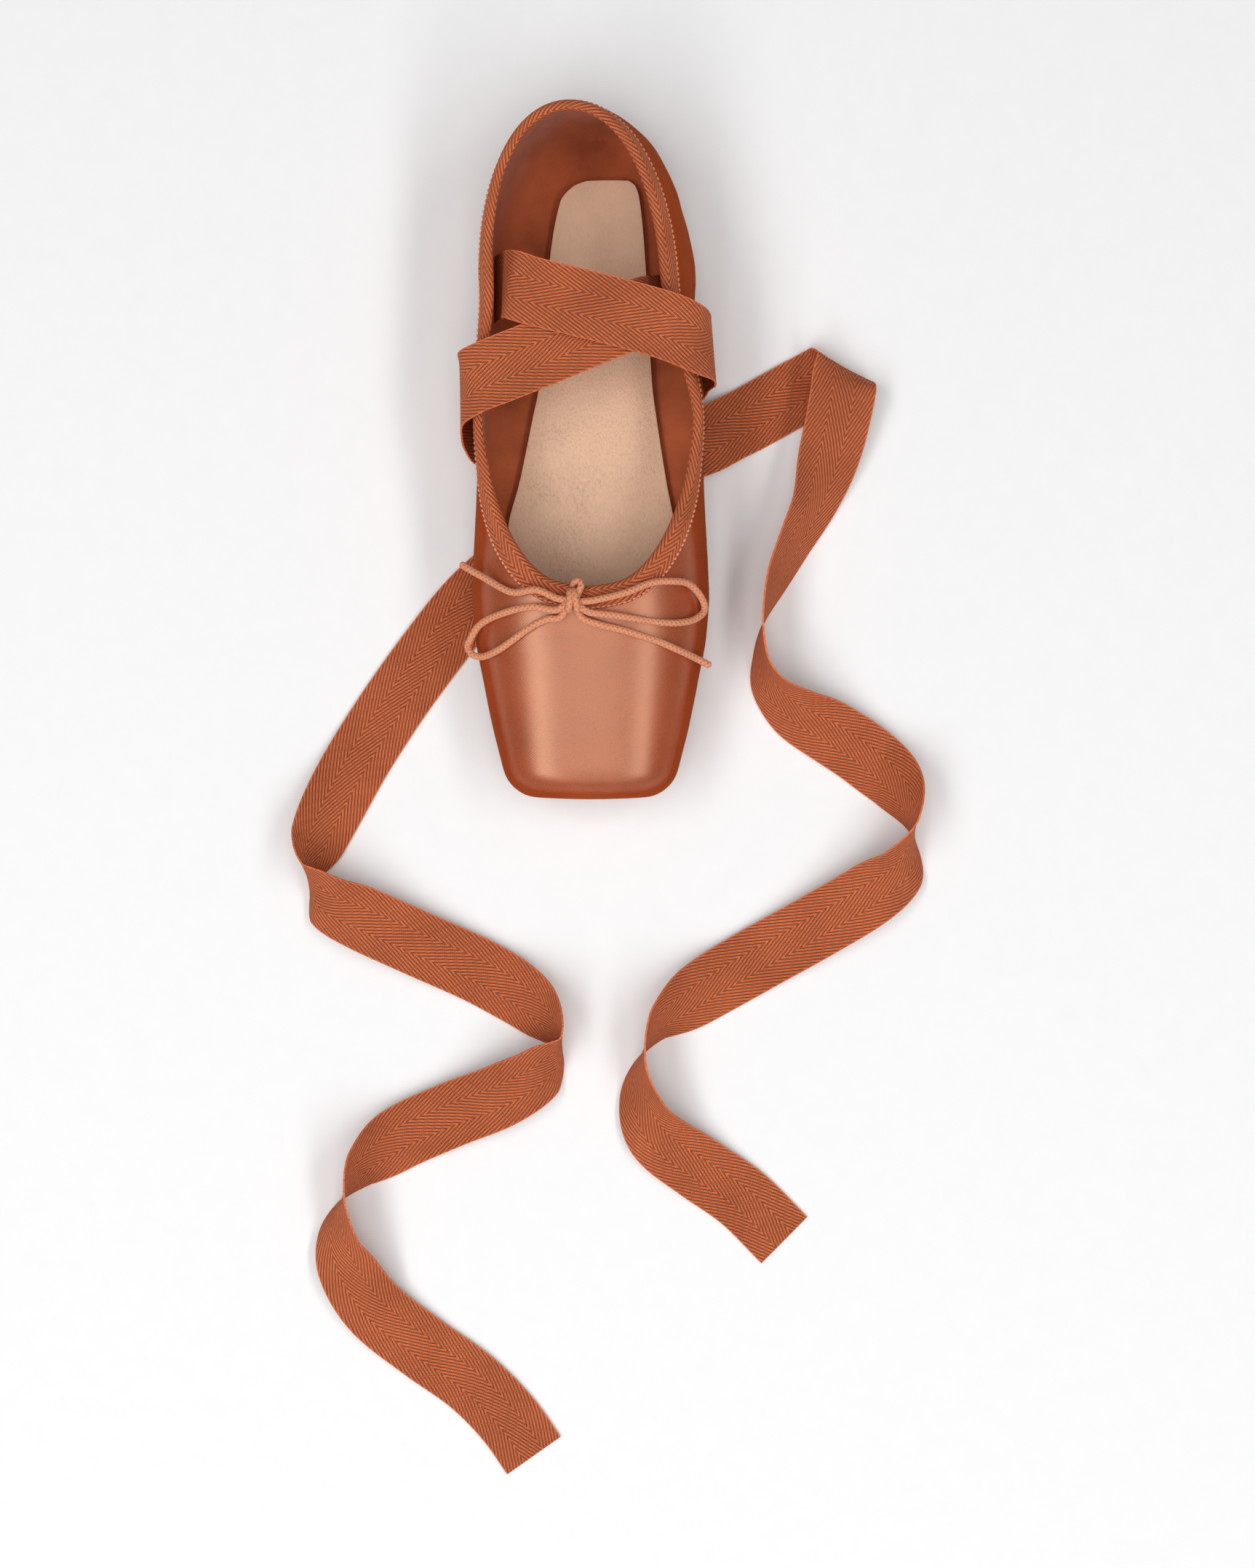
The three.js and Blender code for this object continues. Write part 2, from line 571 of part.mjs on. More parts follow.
// Height at which a flat insole clears the upper's turned-in edge
function insoleBottom(y) {
  const s = section({ y, place: y, narrow: y > HEEL_START ? Math.sqrt(1 - ((y - HEEL_START) / HEEL_DEPTH) ** 2) : 1 });
  const reach = Math.min((at(INSOLE, "half", y) + 3) / s.half, 0.97);
  const rise = (s.widest - s.under) * (1 - (1 - reach ** UNDER_POWER) ** (1 / UNDER_POWER));
  return s.under + WALL + GAP + rise;
}

// A round cord through its route
function cordSolid(rows) {
  const points = rows.map(({ x, y, z, lift }) => {
    if (z !== undefined) return new THREE.Vector3(x, y, z);
    const foot = new THREE.Vector3(x, y, satinHeight(x, y));
    return foot.addScaledVector(nearest(foot).normal, lift);
  });
  const curve = new THREE.CatmullRomCurve3(points, false, "centripetal");
  const count = Math.max(10, Math.round(curve.getLength() / 3));
  const frames = curve.computeFrenetFrames(count, false);
  const rings = [];
  for (let i = 0; i <= count; i += 1) {
    const centre = curve.getPointAt(i / count);
    const ring = [];
    for (let k = 0; k < CORD.sides; k += 1) {
      const angle = (2 * Math.PI * k) / CORD.sides;
      ring.push(centre.clone()
        .addScaledVector(frames.normals[i], CORD.radius * Math.cos(angle))
        .addScaledVector(frames.binormals[i], CORD.radius * Math.sin(angle)));
    }
    rings.push(ring);
  }
  return loft(rings);
}

// The knot: a small rounded body of wound cord
function knotSolid() {
  const sphere = new THREE.SphereGeometry(1, 14, 10);
  const place = sphere.getAttribute("position");
  const points = [];
  const z = satinHeight(KNOT.x, KNOT.y) + KNOT.lift;
  for (let i = 0; i < place.count; i += 1) {
    points.push(new THREE.Vector3(
      KNOT.x + place.getX(i) * KNOT.size[0], KNOT.y + place.getY(i) * KNOT.size[1], z + place.getZ(i) * KNOT.size[2]));
  }
  const faces = [];
  const index = sphere.getIndex();
  for (let i = 0; i < index.count; i += 3) faces.push([index.getX(i), index.getX(i + 1), index.getX(i + 2)]);
  return joinCorners(points, faces);
}

// Width direction of a ribbon at one row of its route
function ribbonWidth(row, tangent, facing) {
  if (row.roll === undefined) {
    const wide = new THREE.Vector3(row.skew, 1, 0).multiplyScalar(facing);
    return wide.addScaledVector(tangent, -wide.dot(tangent)).normalize();
  }
  const roll = THREE.MathUtils.degToRad(row.roll);
  const level = new THREE.Vector3(-tangent.y, tangent.x, 0).normalize();
  const rise = tangent.clone().cross(level);
  return level.multiplyScalar(Math.cos(roll)).addScaledVector(rise, Math.sin(roll));
}

// A flat ribbon along its route; a tilted stretch rests on its lower edge
function ribbonSolid({ facing, wrap, tail }) {
  const rows = [...wrap, ...tail];
  const last = rows.length - 1;
  const route = new THREE.CatmullRomCurve3(rows.map((row) => new THREE.Vector3(row.x, row.y, row.z)), false, "centripetal");
  const widths = rows.map((row, i) => ribbonWidth(row, route.getTangent(i / last), facing));
  const turning = new THREE.CatmullRomCurve3(widths, false, "catmullrom", 0.5);
  const count = last * RIBBON.perRow;
  const rings = [];
  for (let i = 0; i <= count; i += 1) {
    const centre = route.getPoint(i / count);
    const tangent = route.getTangent(i / count);
    const wide = turning.getPoint(i / count);
    wide.addScaledVector(tangent, -wide.dot(tangent)).normalize();
    const face = tangent.clone().cross(wide).normalize();
    const low = centre.z - (Math.abs(wide.z) * RIBBON.width + Math.abs(face.z) * RIBBON.thick) / 2;
    if (low < RIBBON.rest) centre.z += RIBBON.rest - low;
    const corner = (w, f) => centre.clone()
      .addScaledVector(wide, (w * RIBBON.width) / 2).addScaledVector(face, (f * RIBBON.thick) / 2);
    rings.push([corner(1, 1), corner(1, -1), corner(-1, -1), corner(-1, 1)]);
  }
  const lowerFace = 1;
  return loft(rings, { turned: lowerFace });
}

const shoe = new THREE.Group();
function add(name, solid, material) {
  const mesh = new THREE.Mesh(geometryOf(solid), material);
  mesh.name = name;
  shoe.add(mesh);
}

add("outsole", board(SOLE, SOLE_THICK, ground, (y) => at(SECTIONS, "base", y), 0.6, 34), leather);
add("upper", walled(skin, WALL), satin);
add("insole", board(INSOLE, INSOLE_THICK, insoleBottom, (y) => at(INSOLE, "middle", y), 0.4, 34), suede);
add("binding", bindingSolid(), twill);
add("drawstring_knot", knotSolid(), cotton);
for (const [name, rows] of Object.entries(BOW)) add(name, cordSolid(rows), cotton);
for (const [name, ribbon] of Object.entries(RIBBONS)) add(name, ribbonSolid(ribbon), twill);

export default shoe;
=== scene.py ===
"""A satin pointe shoe with its bow and trailing ribbons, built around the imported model."""

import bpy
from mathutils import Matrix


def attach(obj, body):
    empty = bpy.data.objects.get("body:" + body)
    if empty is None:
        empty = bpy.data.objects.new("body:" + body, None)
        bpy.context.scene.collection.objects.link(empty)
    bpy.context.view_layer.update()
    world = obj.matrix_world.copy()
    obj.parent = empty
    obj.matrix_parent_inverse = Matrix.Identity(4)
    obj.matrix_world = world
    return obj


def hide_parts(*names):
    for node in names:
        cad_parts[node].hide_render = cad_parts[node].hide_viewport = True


bl_info = {
    "name": "Pointe shoe",
    "version": (1, 0, 0),
    "blender": (4, 5, 0),
    "location": "View3D > Sidebar > Pointe shoe",
    "description": "Satin, twill, suede and leather looks for a pointe shoe",
    "category": "Object",
}

import math

import bmesh
import bpy
import numpy as np
from mathutils import Matrix, Vector
from mathutils.bvhtree import BVHTree

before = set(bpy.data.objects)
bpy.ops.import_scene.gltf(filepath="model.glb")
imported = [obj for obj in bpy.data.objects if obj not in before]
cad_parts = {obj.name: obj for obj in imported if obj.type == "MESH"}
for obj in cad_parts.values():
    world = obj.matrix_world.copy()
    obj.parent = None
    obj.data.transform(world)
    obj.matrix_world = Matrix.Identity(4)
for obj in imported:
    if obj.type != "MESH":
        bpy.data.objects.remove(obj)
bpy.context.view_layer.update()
MM = 0.001

# Driving sizes of the last, in millimetres
TOE = -114.5
HEEL = 114.5
HEEL_START = 54.5
HEEL_DEPTH = HEEL - HEEL_START
THROAT = -46.0
FILLET_END = -105.0
SOLE_LIFT = 2.8
UNDER_POWER = 3.4
ARCH = {"height": 6.5, "front": -68.0, "back": 60.0}
SPRING = {"height": 4.0, "start": -96.0, "run": 18.5, "power": 1.6}
PLATFORM = {"depth": 9.5, "side": 9.0, "top": 8.0, "under": 5.0, "crown": 0.6}
HEEL_TUCK = {"level": 22.0, "under": 9.0, "above": 3.6, "top": 52.0}


class Table:
    """Rows of sizes along the shoe, read at any place by a curve that keeps between its rows."""

    def __init__(self, columns, rows):
        self.columns = {name: np.array([row[i] for row in rows], float) for i, name in enumerate(columns)}
        self.y = self.columns["y"]

    def at(self, name, y):
        values = self.columns[name]
        y = min(max(y, self.y[0]), self.y[-1])
        i = min(int(np.searchsorted(self.y, y, side="right")) - 1, len(self.y) - 2)
        slopes = np.diff(values) / np.diff(self.y)

        def rise(k):
            if k in (0, len(slopes)):
                return slopes[min(k, len(slopes) - 1)]
            before, after = slopes[k - 1], slopes[k]
            return 0.0 if before * after <= 0 else 2 * before * after / (before + after)

        step = self.y[i + 1] - self.y[i]
        t = (y - self.y[i]) / step
        a, b = values[i], values[i + 1]
        bend = t * (1 - t) ** 2 * rise(i) - t * t * (1 - t) * rise(i + 1)
        return float(a + t * t * (3 - 2 * t) * (b - a) + step * bend)


# Sections of the last: widest half width, half width and height of the top edge, height of the
# widest point, boxiness of the upper arc, sideways place of the middle and its slope with height
SECTIONS = Table(("y", "half", "opening", "top", "widest", "square", "base", "lean"), (
    (-114.5, 26.6, 0, 34.0, 18, 2.9, 0, 0),
    (-105, 29.0, 0, 36.5, 18, 2.8, 0, 0),
    (-90, 32.7, 0, 40.0, 18, 2.6, 0, 0),
    (-75, 35.7, 0, 43.0, 19, 2.5, 0, 0),
    (-60, 38.4, 0, 45.5, 19, 2.4, 0.2, -0.01),
    (-46, 39.3, 0, 47.0, 20, 2.3, 0.6, -0.03),
    (-45, 39.3, 7.5, 46.9, 20, 2.3, 0.6, -0.03),
    (-43.5, 39.2, 12.5, 46.7, 20, 2.3, 0.6, -0.03),
    (-41, 39.1, 16.5, 46.4, 20, 2.3, 0.6, -0.03),
    (-34, 38.8, 22.8, 45.5, 20, 2.3, 0.6, -0.03),
    (-25, 38.3, 28.0, 44.3, 20, 2.3, 0.6, -0.03),
    (-9, 37.5, 33.8, 42.6, 21, 2.2, 0.6, -0.03),
    (10, 37.4, 36.4, 41.6, 21, 2.2, 0.9, -0.04),
    (30, 36.6, 33.2, 42.2, 22, 2.2, 1.5, -0.085),
    (54.5, 35.0, 29.0, 45.0, 22, 2.2, 2.0, -0.14),
    (85, 35.0, 29.2, 49.0, 22, 2.2, 2.6, -0.172),
    (114.5, 35.0, 29.4, 53.0, 22, 2.2, 3.0, -0.185),
))
SOLE_OPENING = Table(("y", "half"), (
    (-98, 0), (-94, 9), (-86, 14), (-70, 18), (-45, 19.5), (-20, 15.5), (5, 11), (40, 9.5), (70, 9),
    (84, 6.5), (93, 0),
))
SOLE = Table(("y", "half"), (
    (-105, 3), (-103.5, 8), (-99, 13.5), (-90, 18.5), (-75, 22.5), (-55, 24.5), (-35, 23.5), (-10, 18),
    (15, 14.8), (45, 13.6), (72, 13.4), (86, 11.6), (95, 7.6), (98, 3),
))
INSOLE = Table(("y", "half", "middle"), (
    (-101, 6, 0), (-98, 13.5, 0), (-90, 20.5, 0), (-70, 26, 0), (-45, 28.6, 0), (-24, 27.8, 0.1),
    (-9, 24.6, 0.7), (12, 20.8, 1.2), (24, 18.9, 1.6), (65, 16.2, 2.1), (86, 13.4, 3.0), (91, 10.6, 4.4),
    (93, 7.2, 5.4),
))

# The bow's cords: place in plan and height of the cord's middle, from the knot outwards
KNOT = {"x": -5.6, "y": -49.6, "rise": 3.6}
BOW_LOOPS = ("drawstring_loop_left", "drawstring_loop_right")
BOW = {
    "drawstring_loop_left": (
        (-10.4, -52.6, "lift", 3.6), (-18.0, -51.6, "lift", 3.3), (-27.0, -53.4, "lift", 2.0),
        (-34.4, -57.0, "lift", 2.3), (-39.0, -61.0, "z", 32.5), (-40.4, -64.2, "z", 30.5),
        (-38.8, -66.8, "z", 31.5), (-34.2, -67.2, "lift", 2.2), (-29.4, -65.6, "lift", 1.8),
        (-24.0, -61.9, "lift", 1.8), (-18.6, -58.0, "lift", 1.8), (-13.4, -55.6, "lift", 1.9),
        (-9.7, -55.2, "lift", 2.2),
    ),
    "drawstring_loop_right": (
        (-1.2, -49.9, "lift", 3.3), (5.0, -49.0, "lift", 3.4), (12.0, -47.0, "lift", 3.4),
        (18.7, -45.3, "lift", 3.3), (25.3, -44.6, "lift", 3.3), (30.7, -45.9, "lift", 3.2),
        (34.4, -48.8, "lift", 3.0), (35.4, -52.2, "lift", 2.6), (33.2, -55.0, "lift", 2.0),
        (28.4, -56.6, "lift", 1.8), (22.5, -56.6, "lift", 1.8), (15.0, -55.6, "lift", 1.8),
        (7.6, -54.3, "lift", 2.9), (-0.6, -53.1, "lift", 4.0),
    ),
    "drawstring_end_left": (
        (-10.0, -49.2, "lift", 3.6), (-16.2, -46.4, "lift", 3.6), (-24.0, -44.6, "lift", 3.6),
        (-32.6, -42.2, "lift", 3.2), (-38.8, -39.6, "z", 37.5), (-42.6, -37.2, "z", 35.5),
    ),
    "drawstring_end_right": (
        (-2.4, -55.3, "lift", 1.8), (3.0, -57.4, "lift", 1.6), (9.2, -58.9, "lift", 1.6),
        (15.1, -60.6, "lift", 1.6), (21.3, -62.6, "lift", 1.6), (27.2, -65.2, "lift", 1.9),
        (33.3, -68.0, "lift", 2.4), (39.6, -70.6, "z", 32.0),
    ),
}

# Ribbon routes by their middle line. Over the opening and under the arch a row gives the skew of
# the width; on the floor it gives the turn of the ribbon about its own line, in degrees
WRAP = {
    "ribbon_left": (
        (-31.8, 54.2, 22, 0), (-28.8, 53.8, 37, 0), (-26.0, 53.0, 46.6, 0.1), (-20.0, 50.8, 48.6, 0.26),
        (-2.6, 46.4, 49.4, 0.28), (14.0, 42.2, 49.6, 0.28), (27.0, 38.4, 48.8, 0.2), (35.2, 35.0, 45.6, 0.02),
        (39.6, 33.6, 38.0, -0.08), (40.2, 33.0, 26.0, -0.08), (39.2, 33.4, 14.0, -0.08),
        (36.0, 32.0, 6.0, -0.08),
        (30.0, 27.0, 1.6, -0.08), (22.0, 17.0, 0.7, -0.08), (8.0, 0.2, 0.7, -0.08),
        (-12.0, -20.6, 0.7, -0.08),
        (-27.0, -35.4, 0.7, -0.08),
    ),
    "ribbon_right": (
        (27.2, 48.6, 22, -0.12), (22.2, 46.6, 36, -0.27), (18.4, 45.0, 43.4, -0.32), (11.0, 41.8, 46.4, -0.4),
        (-5.0, 35.2, 46.6, -0.4), (-18.0, 29.8, 46.4, -0.4), (-30.0, 25.0, 46.8, -0.36),
        (-38.4, 21.6, 45.2, -0.12),
        (-42.0, 18.8, 38.0, 0), (-42.2, 15.4, 26.0, 0), (-40.2, 11.6, 14.0, 0), (-34.6, 7.4, 5.8, 0),
        (-24.0, 3.6, 2.6, 0), (-8.0, 1.0, 2.8, 0), (10.0, 0.4, 3.4, 0), (25.0, 2.0, 5.3, 0),
    ),
}
TAIL = {
    "ribbon_left": (
        (-41.0, -48.5, 0.7, 180), (-54.7, -65.7, 0.7, 180), (-69.5, -86.6, 0.7, 180),
        (-82.2, -107.4, 0.8, 174),
        (-91.9, -128.3, 2.5, 145), (-95.0, -140.0, 6.0, 90), (-89.3, -148.4, 10.0, 35),
        (-76.2, -154.8, 9.0, 8),
        (-58.1, -163.2, 5.0, 0), (-33.8, -174.6, 2.0, 4), (-19.0, -184.4, 3.5, 30), (-9.9, -197.1, 7.0, 90),
        (-16.7, -205.9, 10.0, 145), (-30.6, -214.1, 8.0, 172), (-47.2, -220.8, 4.0, 180),
        (-65.9, -229.5, 3.0, 166),
        (-77.6, -238.4, 7.0, 125), (-83.4, -248.8, 10.0, 85), (-84.8, -260.8, 11.0, 50),
        (-81.6, -272.1, 9.0, 20),
        (-72.9, -286.2, 4.0, 4), (-57.1, -299.3, 1.5, 0), (-40.0, -311.7, 0.8, 0), (-27.7, -324.3, 0.7, 0),
        (-19.4, -336.1, 0.7, 0),
    ),
    "ribbon_right": (
        (37.6, 5.4, 5.8, 180), (46.0, 10.0, 3.0, 180), (53.3, 13.8, 0.8, 180), (67.6, 21.8, 0.8, 180),
        (78.4, 27.6, 1.2, 184), (84.2, 30.8, 6.0, 270), (84.6, 24.6, 11.5, 354), (82.8, 13.5, 10.5, 350),
        (79.9, 1.1, 9.0, 340), (75.0, -14.8, 9.0, 315), (68.8, -27.5, 10.0, 303), (62.7, -40.5, 11.0, 292),
        (57.8, -55.1, 11.5, 272), (57.1, -67.3, 11.0, 259), (60.3, -77.0, 9.5, 240), (69.0, -85.5, 7.0, 216),
        (80.2, -91.8, 4.0, 194), (93.7, -100.8, 2.5, 188), (102.7, -109.9, 4.0, 215),
        (108.1, -124.5, 7.0, 270),
        (104.2, -137.9, 10.0, 320), (93.3, -146.5, 9.0, 350), (75.2, -157.6, 5.0, 360),
        (53.3, -170.0, 2.0, 358),
        (34.9, -181.0, 3.0, 340), (22.6, -190.0, 7.0, 298), (16.5, -202.5, 10.0, 262),
        (16.7, -215.9, 10.0, 230),
        (22.6, -228.4, 7.0, 200), (36.1, -238.8, 3.0, 184), (50.9, -249.3, 1.0, 180),
        (65.1, -263.4, 0.7, 180),
    ),
}
FACING = {"ribbon_left": 1, "ribbon_right": -1}

# Soft folds in the satin: side, place along the shoe from and to, share of the way down from and
# to, depth in millimetres (a ridge is negative) and width
CREASES = (
    (1, 62, 88, 0.30, 0.62, 0.7, 6),
    (1, 40, 66, 0.52, 0.36, 0.5, 5),
    (-1, 60, 90, 0.34, 0.60, 0.6, 6),
    (-1, 34, 60, 0.58, 0.40, 0.5, 5),
    (1, 8, 30, 0.45, 0.62, 0.4, 5),
    (-1, 2, 26, 0.48, 0.66, 0.4, 5),
    (1, 92, 106, 0.5, 0.8, 0.6, 5),
    (-1, 92, 106, 0.45, 0.8, 0.6, 5),
)


def ground(y):
    """Height of the sole's walking face: flat heel and forefoot, arch between, toe spring."""
    z = 0.0
    if ARCH["front"] < y < ARCH["back"]:
        z += ARCH["height"] * math.sin(math.pi * (y - ARCH["front"]) / (ARCH["back"] - ARCH["front"])) ** 2
    if y < SPRING["start"]:
        z += SPRING["height"] * ((SPRING["start"] - y) / SPRING["run"]) ** SPRING["power"]
    return z


def heel_shift(y, z):
    """How far the heel is tucked in below and drawn in at the collar."""
    if y <= HEEL_START:
        return np.zeros_like(z)
    weight = ((y - HEEL_START) / HEEL_DEPTH) ** 3
    level = HEEL_TUCK["level"]
    below = -HEEL_TUCK["under"] * weight * (np.maximum(level - z, 0) / level) ** 2.4
    above = -HEEL_TUCK["above"] * weight * (np.maximum(z - level, 0) / (HEEL_TUCK["top"] - level)) ** 1.7
    return below + above


def section_line(station, side, rows):
    """Points down one side of a section, evenly spaced, and the way from the middle to each."""
    y, place, narrow, rounding, shrink = station
    half = (SECTIONS.at("half", y) * narrow - PLATFORM["side"] * rounding) * shrink
    widest = SECTIONS.at("widest", y)
    top = SECTIONS.at("top", y) - PLATFORM["top"] * rounding
    under = ground(y) + SOLE_LIFT + PLATFORM["under"] * rounding
    square = SECTIONS.at("square", y)
    opening = SECTIONS.at("opening", y) * narrow
    share = min(opening / half, 0.995) if half > 1e-6 else SECTIONS.at("opening", y) / SECTIONS.at("half", y)
    crown = widest + (top - widest) / (1 - share ** square) ** (1 / square)
    crown = widest + (crown - widest) * shrink
    under = widest + (under - widest) * shrink
    gap = min(SOLE_OPENING.at("half", y) * narrow / half, 0.9) if half > 1e-6 else 0.0
    steps = 90
    t = np.linspace(0, 1, steps + 1)
    up = math.acos(share ** (square / 2)) * (1 - t)
    low = math.acos(gap ** (UNDER_POWER / 2)) * t[1:]
    out_up = np.maximum(np.cos(up), 0) ** (2 / square)
    out_low = np.maximum(np.cos(low), 0) ** (2 / UNDER_POWER)
    out = np.concatenate([out_up, out_low])
    z_up = widest + (crown - widest) * np.maximum(np.sin(up), 0) ** (2 / square)
    z_low = widest - (widest - under) * np.maximum(np.sin(low), 0) ** (2 / UNDER_POWER)
    z = np.concatenate([z_up, z_low])
    x = SECTIONS.at("base", y) + SECTIONS.at("lean", y) * z + side * half * out
    fine = np.stack([x, place + heel_shift(y, z), z], 1)
    along = np.concatenate([[0], np.cumsum(np.linalg.norm(np.diff(fine, axis=0), axis=1))])
    want = np.linspace(0, along[-1], rows + 1)
    points = np.stack([np.interp(want, along, fine[:, k]) for k in range(3)], 1)
    return points, want + opening


def shoe_stations():
    """Stations from the middle of the toe platform to the back of the heel."""
    shares = (0, 0.08, 0.2, 0.34, 0.5, 0.66, 0.82, 0.93)
    rows = [(TOE, TOE + PLATFORM["crown"] * s * s, 1.0, 1.0, s) for s in shares]
    for angle in np.linspace(0, math.pi / 2, 15):
        place = TOE + PLATFORM["crown"] + (PLATFORM["depth"] - PLATFORM["crown"]) * (1 - math.cos(angle))
        rows.append((place, place, 1.0, 1 - math.sin(angle), 1.0))
    middle = np.concatenate([
        np.arange(FILLET_END + 1.5, THROAT - 1, 1.5),
        THROAT + 6 * np.linspace(0, 1, 24) ** 2,
        np.arange(THROAT + 7.2, HEEL_START - 0.6, 1.6),
    ])
    rows += [(y, y, 1.0, 0.0, 1.0) for y in middle]
    for angle in np.linspace(0, math.pi / 2, 46):
        place = HEEL_START + HEEL_DEPTH * math.sin(angle)
        narrow = math.cos(angle) if angle < 1.57 else 0.0
        rows.append((place, place, narrow, 0.0, 1.0))
    return rows


def deselect():
    bpy.ops.object.select_all(action="DESELECT")


def activate(obj):
    deselect()
    obj.select_set(True)
    bpy.context.view_layer.objects.active = obj


def edit(obj, *steps):
    """Runs edit-mode steps on the whole of one mesh."""
    activate(obj)
    bpy.ops.object.mode_set(mode="EDIT")
    bpy.ops.mesh.select_all(action="SELECT")
    for step in steps:
        step()
    bpy.ops.object.mode_set(mode="OBJECT")


def weld(obj, distance=0.00002):
    edit(obj, lambda: bpy.ops.mesh.remove_doubles(threshold=distance))


def outward(obj):
    edit(obj, lambda: bpy.ops.mesh.normals_make_consistent(inside=False))


def apply_modifier(obj, kind, **settings):
    """Adds a modifier, sets it and applies it."""
    activate(obj)
    modifier = obj.modifiers.new(kind.title(), kind)
    for name, value in settings.items():
        setattr(modifier, name, value)
    bpy.ops.object.modifier_apply(modifier=modifier.name)


def smooth(obj, angle=40):
    activate(obj)
    bpy.ops.object.shade_smooth_by_angle(angle=math.radians(angle))


def grid_piece(name, points, uv=None, attributes=None):
    """A grid primitive whose corners are laid on points: rows by columns by 3, in millimetres."""
    rows, columns = points.shape[:2]
    deselect()
    bpy.ops.mesh.primitive_grid_add(
        x_subdivisions=columns - 1, y_subdivisions=rows - 1, size=1, calc_uvs=False)
    obj = bpy.context.object
    obj.name = name
    obj.data.name = name
    obj.data.vertices.foreach_set("co", (points.reshape(-1, 3) * MM).ravel())
    if uv is not None:
        layer = obj.data.uv_layers.new(name="Cloth")
        corner = np.zeros(len(obj.data.loops), int)
        obj.data.loops.foreach_get("vertex_index", corner)
        layer.data.foreach_set("uv", (uv.reshape(-1, 2)[corner] * MM).ravel())
    for key, values in (attributes or {}).items():
        obj.data.attributes.new(key, "FLOAT", "POINT").data.foreach_set("value", values.ravel().astype(float))
    obj.data.update()
    return obj


def read_points(obj):
    points = np.zeros(len(obj.data.vertices) * 3)
    obj.data.vertices.foreach_get("co", points)
    return points.reshape(-1, 3)


def read_normals(obj):
    normals = np.zeros(len(obj.data.vertices) * 3)
    obj.data.vertices.foreach_get("normal", normals)
    return normals.reshape(-1, 3)


def read_attribute(obj, key):
    values = np.zeros(len(obj.data.vertices))
    obj.data.attributes[key].data.foreach_get("value", values)
    return values


def write_points(obj, points):
    obj.data.vertices.foreach_set("co", points.ravel())
    obj.data.update()


def join(name, objects):
    """Joins meshes into one named piece."""
    activate(objects[0])
    for obj in objects:
        obj.select_set(True)
    bpy.ops.object.join()
    objects[0].name = name
    objects[0].data.name = name
    return objects[0]


def finish_piece(obj, material, slot, *nodes):
    """Gives a piece its material and its body and hides the nodes that it stands for. The slot is not used.
    """
    obj.data.materials.clear()
    obj.data.materials.append(material)
    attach(obj, "root")
    if nodes:
        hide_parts(*nodes)
    return obj


def skin_grid(side, rows):
    """Corners of one side of the satin, its cloth map and each corner's place on the shoe."""
    stations = shoe_stations()
    lines = [section_line(station, side, rows) for station in stations]
    points = np.stack([line[0] for line in lines])
    middle = points[:, rows // 2]
    along = np.concatenate([[0], np.cumsum(np.linalg.norm(np.diff(middle, axis=0), axis=1))])
    across = np.stack([line[1] for line in lines])
    uv = np.stack([side * across, np.repeat(along[:, None], rows + 1, 1)], 2)
    down = np.repeat(np.linspace(0, 1, rows + 1)[None], len(stations), 0)
    place = np.repeat(np.array([s[1] for s in stations])[:, None], rows + 1, 1)
    return points, uv, {"down": down, "place": place, "side": np.full(down.shape, float(side))}


def skin_piece(name, rows):
    """Both sides of the satin's skin welded into one open shell, facing outwards."""
    halves = []
    for side in (-1, 1):
        points, uv, attributes = skin_grid(side, rows)
        halves.append(grid_piece(f"{name}_half", points, uv=uv, attributes=attributes))
    obj = join(name, halves)
    weld(obj)
    edit(obj, lambda: bpy.ops.mesh.dissolve_degenerate(threshold=0.000005))
    outward(obj)
    ease_toe(obj)
    points, normals = read_points(obj), read_normals(obj)
    vamp = np.argmin(np.linalg.norm(points - np.array([0, -0.075, 0.043]), axis=1))
    if normals[vamp][2] < 0:
        edit(obj, bpy.ops.mesh.flip_normals)
    return obj


def ease_toe(obj):
    """Softens the bend from the toe platform into the box."""
    place = read_attribute(obj, "place")
    weight = soft_step(-90, -102, place)
    group = obj.vertex_groups.new(name="toe")
    for index in np.flatnonzero(weight > 0):
        group.add([int(index)], float(weight[index]), "REPLACE")
    apply_modifier(obj, "SMOOTH", factor=0.5, iterations=14, vertex_group="toe")
    obj.vertex_groups.clear()


def soft_step(low, high, value):
    t = np.clip((value - low) / (high - low), 0, 1)
    return t * t * (3 - 2 * t)


def crease_depth(side, place, down):
    """Depth of the listed folds, in millimetres inwards."""
    depth = np.zeros_like(place)
    girth = 95.0
    for fold_side, y0, y1, d0, d1, deep, wide in CREASES:
        a = np.array([y0, d0 * girth])
        b = np.array([y1, d1 * girth])
        run = b - a
        spot = np.stack([place, down * girth], 1)
        t = np.clip(((spot - a) @ run) / (run @ run), 0, 1)
        off = np.linalg.norm(spot - a - t[:, None] * run, axis=1)
        ends = np.sin(math.pi * np.clip(t, 0.02, 0.98)) ** 0.7
        profile = np.exp(-(off / wide) ** 2) - 0.45 * np.exp(-((off - 1.7 * wide) / wide) ** 2)
        depth += np.where(side == fold_side, deep * ends * profile, 0)
    return depth


